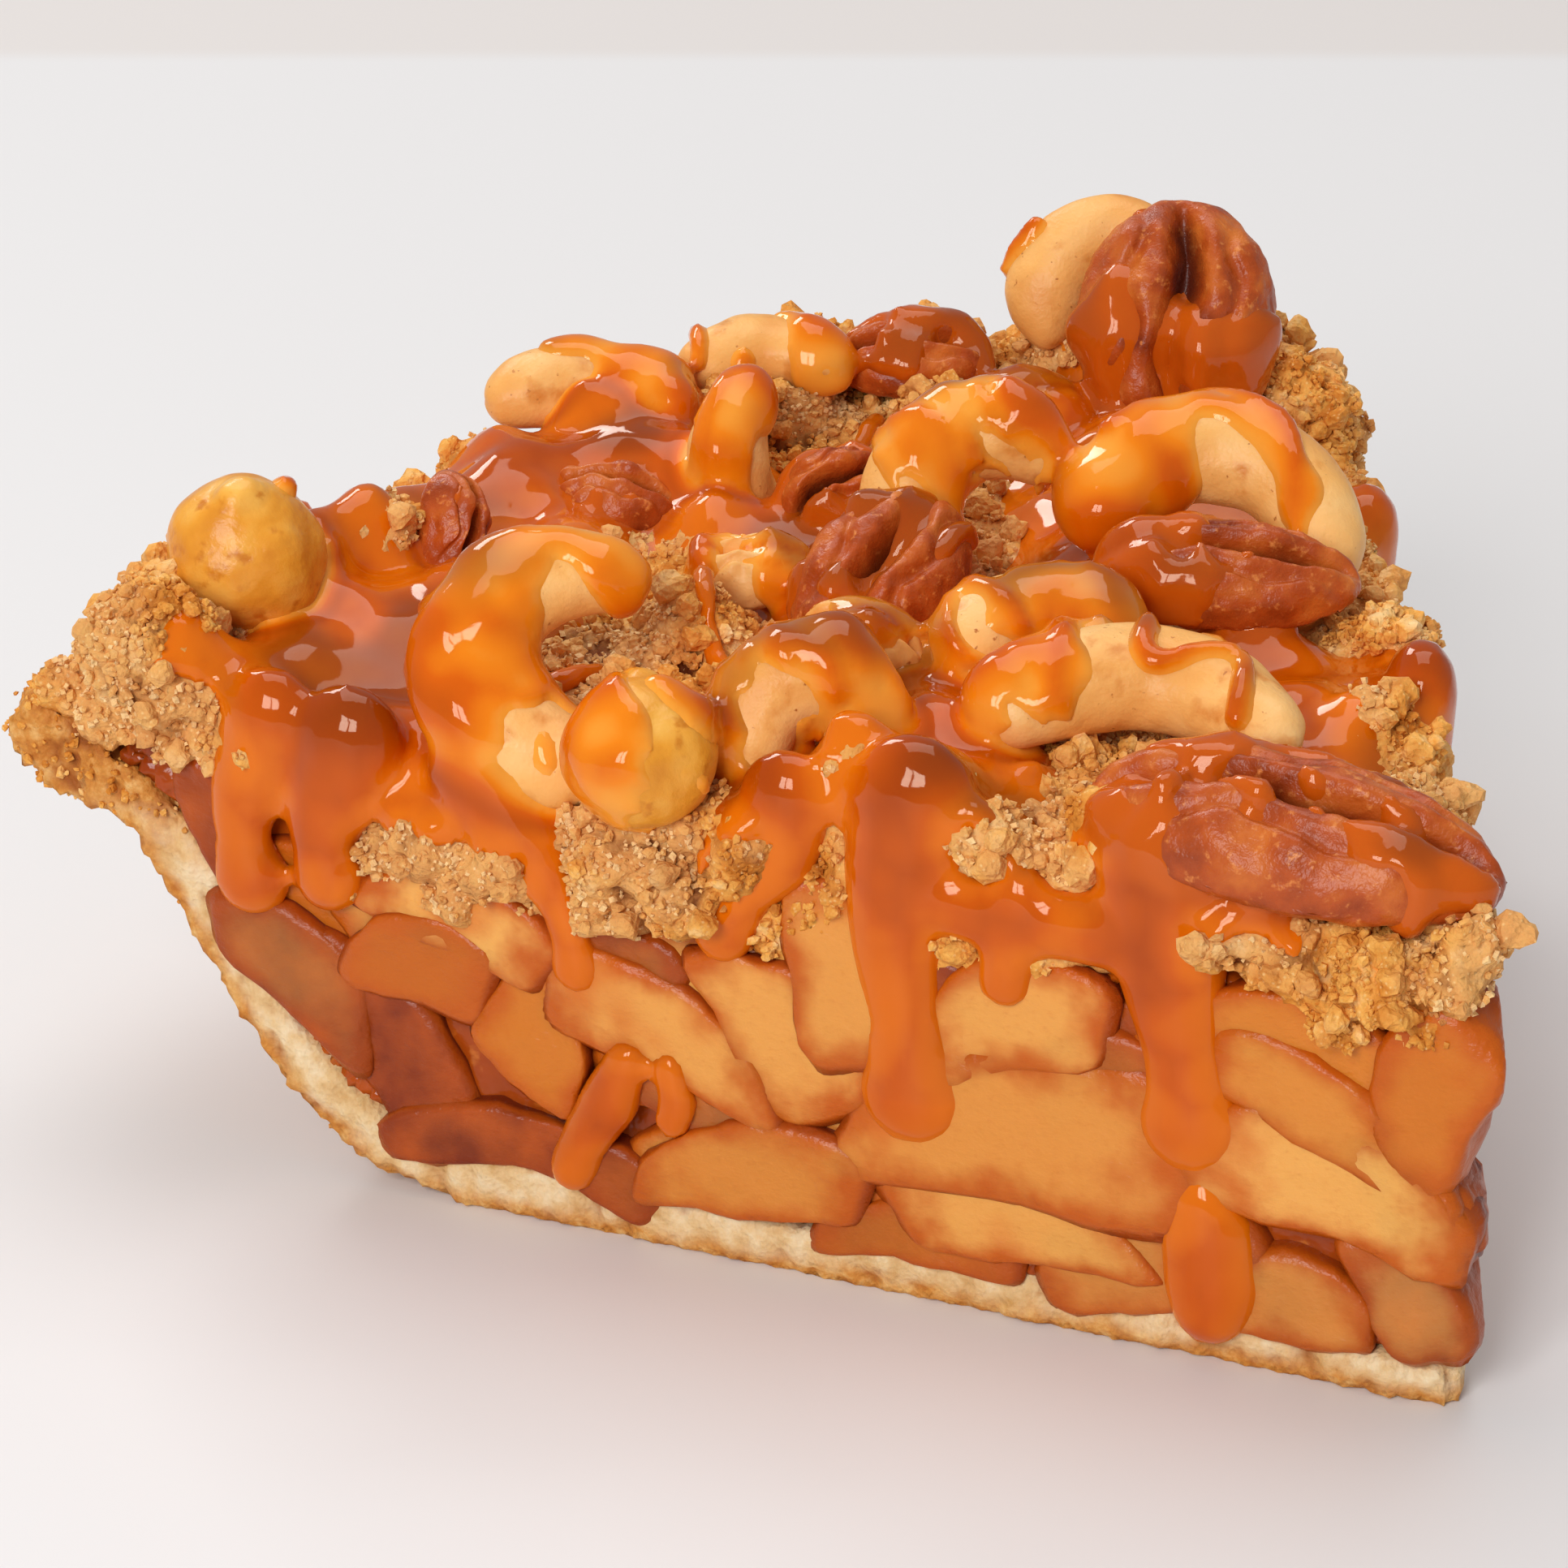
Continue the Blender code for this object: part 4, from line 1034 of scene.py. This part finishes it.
def apple_finish():
    """Cooked flesh, orange towards the rim of a slice, and dark down its sides: juice there with painted
    shade, and painted shade deep in the seams between slices.
    """
    surface, tree, shader = finish_called("apple_baked", {
        "Roughness": 0.3, "IOR": 1.36, "Subsurface Weight": 0.12, "Subsurface Scale": 0.0025,
        "Subsurface Radius": (1, 0.45, 0.15),
    })
    pale = ramp(tree, stored(tree, "tint"), [
        (0, tone(196, 98, 16)), (0.45, tone(210, 122, 34)), (1, tone(238, 172, 88)),
    ])
    rim = add_node(tree, "ShaderNodeMath", {
        0: stored(tree, "to_rim"), 1: speckle(tree, 4, 3),
    }, operation="ADD").outputs[0]
    orange = mix(tree, between(tree, rim, 0.75, 1.4), pale, tone(194, 90, 12))
    fibres = speckle(tree, 0.8, 3, stretch=(1, 1, 1.6), contrast=0.6)
    flesh = mix(tree, between(tree, fibres, 0.5, 1.3), orange, tone(196, 104, 30))
    stain = between(tree, speckle(tree, 11, 2), 0.5, 0.75)
    stained = mix(tree, stain, flesh, tone(204, 94, 8))
    brown = ramp(tree, speckle(tree, 5, 3), [(0.3, tone(122, 40, 8)), (0.7, tone(176, 76, 18))])
    soaked = mix(tree, between(tree, stored(tree, "soaked"), 0, 1.1), stained, brown)
    # Down the sides of a slice: juice-brown that is partly painted shade, then painted shade deep in the
    # seams between slices.
    edge = between(tree, stored(tree, "side_depth_for_shade"), 0.05, 0.6)
    edged = mix(tree, edge, soaked, tone(166, 70, 14))
    deep = between(tree, stored(tree, "side_depth_for_shade"), 0.6, 1.3)
    colour(tree, shader, mix(tree, deep, edged, tone(116, 40, 12)))
    relief(tree, shader, [(fibres, 0.1), (speckle(tree, 3, 2), 0.4), (speckle(tree, 0.45, 2), 0.05)])
    return surface


def gel_finish():
    """Red-brown set juice with some pulp."""
    surface, tree, shader = finish_called("apple_juice_set", {
        "Roughness": 0.12, "IOR": 1.36, "Subsurface Weight": 0.15, "Subsurface Scale": 0.003,
        "Subsurface Radius": (1, 0.3, 0.1),
    })
    juice = ramp(tree, speckle(tree, 10, 3), [
        (0.25, tone(128, 46, 10)), (0.5, tone(168, 70, 12)), (0.75, tone(206, 94, 14)),
    ])
    pulp = mix(tree, between(tree, speckle(tree, 2.6, 4), 0.58, 0.74), juice, tone(208, 116, 40))
    colour(tree, shader, pulp)
    relief(tree, shader, [(speckle(tree, 3, 3), 0.3)])
    return surface


def crumble_finish(name, richer):
    """Golden crumbs that drift towards a second tone, with painted shade where the surface sinks."""
    surface, tree, shader = finish_called(name, {
        "Roughness": 0.7, "IOR": 1.3, "Subsurface Weight": 0.08, "Subsurface Scale": 0.0015,
        "Subsurface Radius": (1, 0.55, 0.3),
    })
    golden = ramp(tree, speckle(tree, 4, 4, contrast=0.6), [
        (0.25, tone(160, 84, 20)), (0.42, tone(216, 136, 48)), (0.56, tone(240, 174, 84)),
        (0.78, tone(252, 222, 166)),
    ])
    drift = between(tree, speckle(tree, 12, 2), 0.4, 0.58)
    toned = mix(tree, drift, golden, mix(tree, 0.65, golden, richer))
    sugar = mix(tree, between(tree, grains(tree, 0.6), 0.3, 0.04), toned, tone(252, 216, 150))
    sparkled = mix(tree, 0.5, toned, sugar)
    # Painted shade where the crumble's relief sinks; on scattered crumbs the number is random, so some
    # crumbs are just darker.
    hollow_shade = between(tree, stored(tree, "raised"), -0.1, -1.4)
    colour(tree, shader, mix(tree, hollow_shade, sparkled, tone(116, 50, 12)))
    relief(tree, shader, [(speckle(tree, 0.8, 3), 0.35), (grains(tree, 0.5), 0.15)])
    return surface


def crust_finish():
    """Pale inside and golden where it is baked, with painted shade where the surface sinks."""
    surface, tree, shader = finish_called("crust_baked", {
        "Roughness": 0.64, "IOR": 1.32, "Subsurface Weight": 0.1, "Subsurface Scale": 0.002,
        "Subsurface Radius": (1, 0.65, 0.4),
    })
    pale = ramp(tree, speckle(tree, 3, 4, contrast=0.6), [
        (0.28, tone(200, 150, 86)), (0.5, tone(228, 192, 140)), (0.74, tone(242, 222, 186)),
    ])
    golden = ramp(tree, speckle(tree, 1.8, 4, contrast=0.65), [
        (0.28, tone(176, 98, 28)), (0.5, tone(208, 138, 60)), (0.74, tone(236, 188, 118)),
    ])
    baked = mix(tree, stored(tree, "baked"), pale, golden)
    # Painted shade where the crust's relief sinks.
    hollow_shade = between(tree, stored(tree, "raised"), -0.1, -0.8)
    colour(tree, shader, mix(tree, hollow_shade, baked, tone(160, 88, 30)))
    relief(tree, shader, [(speckle(tree, 0.8, 3), 0.25), (grains(tree, 0.5), 0.12)])
    return surface


# Setting

def floor():
    """A pale surface that carries the slice and turns a little warmer far behind it."""
    bm = bmesh.new()
    bmesh.ops.create_grid(bm, x_segments=1, y_segments=1, size=FLOOR_HALF)
    piece = add_piece("floor", bm)
    surface, tree, shader = finish_called("floor_pale", {"Roughness": 0.55})
    place = tree.nodes.new("ShaderNodeTexCoord").outputs["Object"]
    turned = add_node(tree, "ShaderNodeVectorRotate", {
        "Vector": place, "Angle": -CAMERA_AZIMUTH,
    }, rotation_type="Z_AXIS").outputs[0]
    away = add_node(tree, "ShaderNodeSeparateXYZ", {"Vector": turned}).outputs["Y"]
    far = between(tree, away, *FAR_STRIP)
    colour(tree, shader, mix(tree, far, tone(231, 229, 229), tone(226, 220, 217)))
    piece.data.materials.append(surface)


def soft_light(name, place, size, power):
    """A soft box that looks at the slice."""
    lamp = bpy.data.lights.new(name, "AREA")
    lamp.shape = "RECTANGLE"
    lamp.size, lamp.size_y = size
    lamp.energy = power
    holder = bpy.data.objects.new(name, lamp)
    holder.location = place
    holder.rotation_euler = (place - LIGHT_AIM).to_track_quat("Z", "Y").to_euler()
    bpy.context.scene.collection.objects.link(holder)


def studio():
    """Even light from overhead and behind, and a window of four panes in front."""
    world = bpy.data.worlds.new("studio")
    world.use_nodes = True
    background = world.node_tree.nodes["Background"]
    background.inputs["Color"].default_value = WORLD_COLOUR
    background.inputs["Strength"].default_value = WORLD_STRENGTH
    bpy.context.scene.world = world
    near = Vector((math.sin(CAMERA_AZIMUTH), -math.cos(CAMERA_AZIMUTH), 0))
    soft_light("overhead", 1.1 * UP - 0.3 * near, OVERHEAD_SIZE, OVERHEAD_POWER)
    behind = 0.8 * UP - 0.5 * VIEW_RIGHT - 0.9 * near
    soft_light("back_pane", behind, BACK_PANE_SIZE, BACK_PANE_POWER)
    window = 0.66 * UP - 0.42 * VIEW_RIGHT + 0.95 * near
    level = VIEW_RIGHT * 0.95 + near * 0.3
    for row in (-1, 1):
        for column in (-1, 1):
            spot = window + WINDOW_SPREAD[0] * column * level + WINDOW_SPREAD[1] * row * UP
            soft_light("window_pane", spot, WINDOW_PANE_SIZE, WINDOW_PANE_POWER)


def camera():
    """The photograph's viewpoint."""
    lens = bpy.data.cameras.new("camera")
    lens.lens = CAMERA_LENS
    lens.sensor_width = 36
    lens.clip_start = 0.01
    holder = bpy.data.objects.new("camera", lens)
    back = Vector((
        math.sin(CAMERA_AZIMUTH) * math.cos(CAMERA_ELEVATION),
        -math.cos(CAMERA_AZIMUTH) * math.cos(CAMERA_ELEVATION),
        math.sin(CAMERA_ELEVATION),
    ))
    holder.location = CAMERA_TARGET + back * CAMERA_DISTANCE
    holder.rotation_euler = back.to_track_quat("Z", "Y").to_euler()
    bpy.context.scene.collection.objects.link(holder)
    bpy.context.scene.camera = holder


def carry(piece, surface, slot, *nodes):
    """Give a piece its finish and its body, and hide the solids that it stands for. The slot is not used.
    """
    piece.data.materials.clear()
    piece.data.materials.append(surface)
    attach(piece, "root")
    if nodes:
        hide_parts(*nodes)


def build():
    """Every piece of the slice, with its finish."""
    draw = random.Random(SEED)
    nuts = {}
    for table, shaping in (
        (CASHEWS, shaped_cashew),
        (PECANS, shaped_pecan),
        (NUT_BITS, shaped_pecan),
        (HAZELNUTS, shaped_hazelnut),
    ):
        for name, row in table.items():
            nuts[name] = nut(name, row, shaping)
    crumble = crumble_bed()
    crust = crust_shell()
    gel = gel_core()
    slices_a = apple_slices("apple_slices_left", APPLES_FACE_A + drawn_rows(FACE_A_BEHIND, draw), -1, draw)
    slices_b = apple_slices("apple_slices_right", drawn_rows(FACE_B_ROWS, draw), 1, draw)
    nuts_tree = tree_of([piece.data for piece in nuts.values()])
    crumble_tree = tree_of([crumble.data])
    solid_tree = tree_of([piece.data for piece in (crumble, crust, gel, slices_a, slices_b)])
    top_tree = tree_of([crumble.data] + [piece.data for piece in nuts.values()])
    sauce = caramel(nuts, crumble_tree, top_tree, solid_tree, nuts_tree)
    sauce_tree = tree_of([sauce.data])

    def dry(place, normal):
        """True on open crumble and crust, away from caramel and nuts."""
        for tree in (sauce_tree, nuts_tree):
            spot, outward, _, gap = tree.find_nearest(place)
            if (place - spot).dot(outward) < 0.1 * MM and gap < DRY_GAP * MM:
                return False
        return True

    def on_crumble(place, normal):
        return normal.z > -0.35 and dry(place, normal)

    def on_crust(place, normal):
        spot = (place - POINT) / MM
        off_face = HALF_ANGLE - abs(math.atan2(spot.x, spot.y))
        cut = off_face * spot.xy.length < 1.2 and spot.z < 30
        return spot.z > 2 and normal.z > -0.9 and spot.xy.length > 96 and not cut and dry(place, normal)

    fine = grain_shapes(6, 1, draw)
    coarse = grain_shapes(6, 2, draw)
    cubes = grain_shapes(6, 0, draw)
    sugar = scatter("crumble_sugar", crumble, SUGAR_COUNT, (0.3, 0.7), cubes, on_crumble, draw)
    crumbs = scatter("crumble_crumbs", crumble, GRAIN_COUNT, (0.5, 1.3), fine, on_crumble, draw)
    lumps = scatter("crumble_lumps", crumble, LUMP_COUNT, (1.2, 3), coarse, on_crumble, draw)
    rim_crumbs = scatter("crust_crumbs", crust, CRUST_GRAIN_COUNT, (0.35, 1.1), fine, on_crust, draw)

    finishes = {"cashew": cashew_finish(), "pecan": pecan_finish(), "hazelnut": hazelnut_finish()}
    for name, piece in nuts.items():
        slot = "hazelnut" if name in HAZELNUTS else "pecan" if name in PECANS else "cashew"
        carry(piece, finishes[slot], slot, name)
    crumbly = crumble_finish("crumble_baked", tone(226, 168, 104))
    carry(crumble, crumbly, "crumble", "crumble_topping")
    carry(sugar, crumble_finish("crumble_sugared", tone(252, 218, 162)), "crumble")
    for scattered in (crumbs, lumps):
        carry(scattered, crumbly, "crumble")
    carry(crust, crust_finish(), "pastry", "crust")
    carry(rim_crumbs, crumble_finish("crust_crumbs_baked", tone(214, 150, 76)), "pastry")
    carry(gel, gel_finish(), "apple", "apple_filling")
    apple = apple_finish()
    carry(slices_a, apple, "apple")
    carry(slices_b, apple, "apple")
    carry(sauce, caramel_finish(), "caramel", "caramel_sauce")


build()
floor()
studio()
camera()
bpy.context.scene.view_settings.view_transform = "Standard"
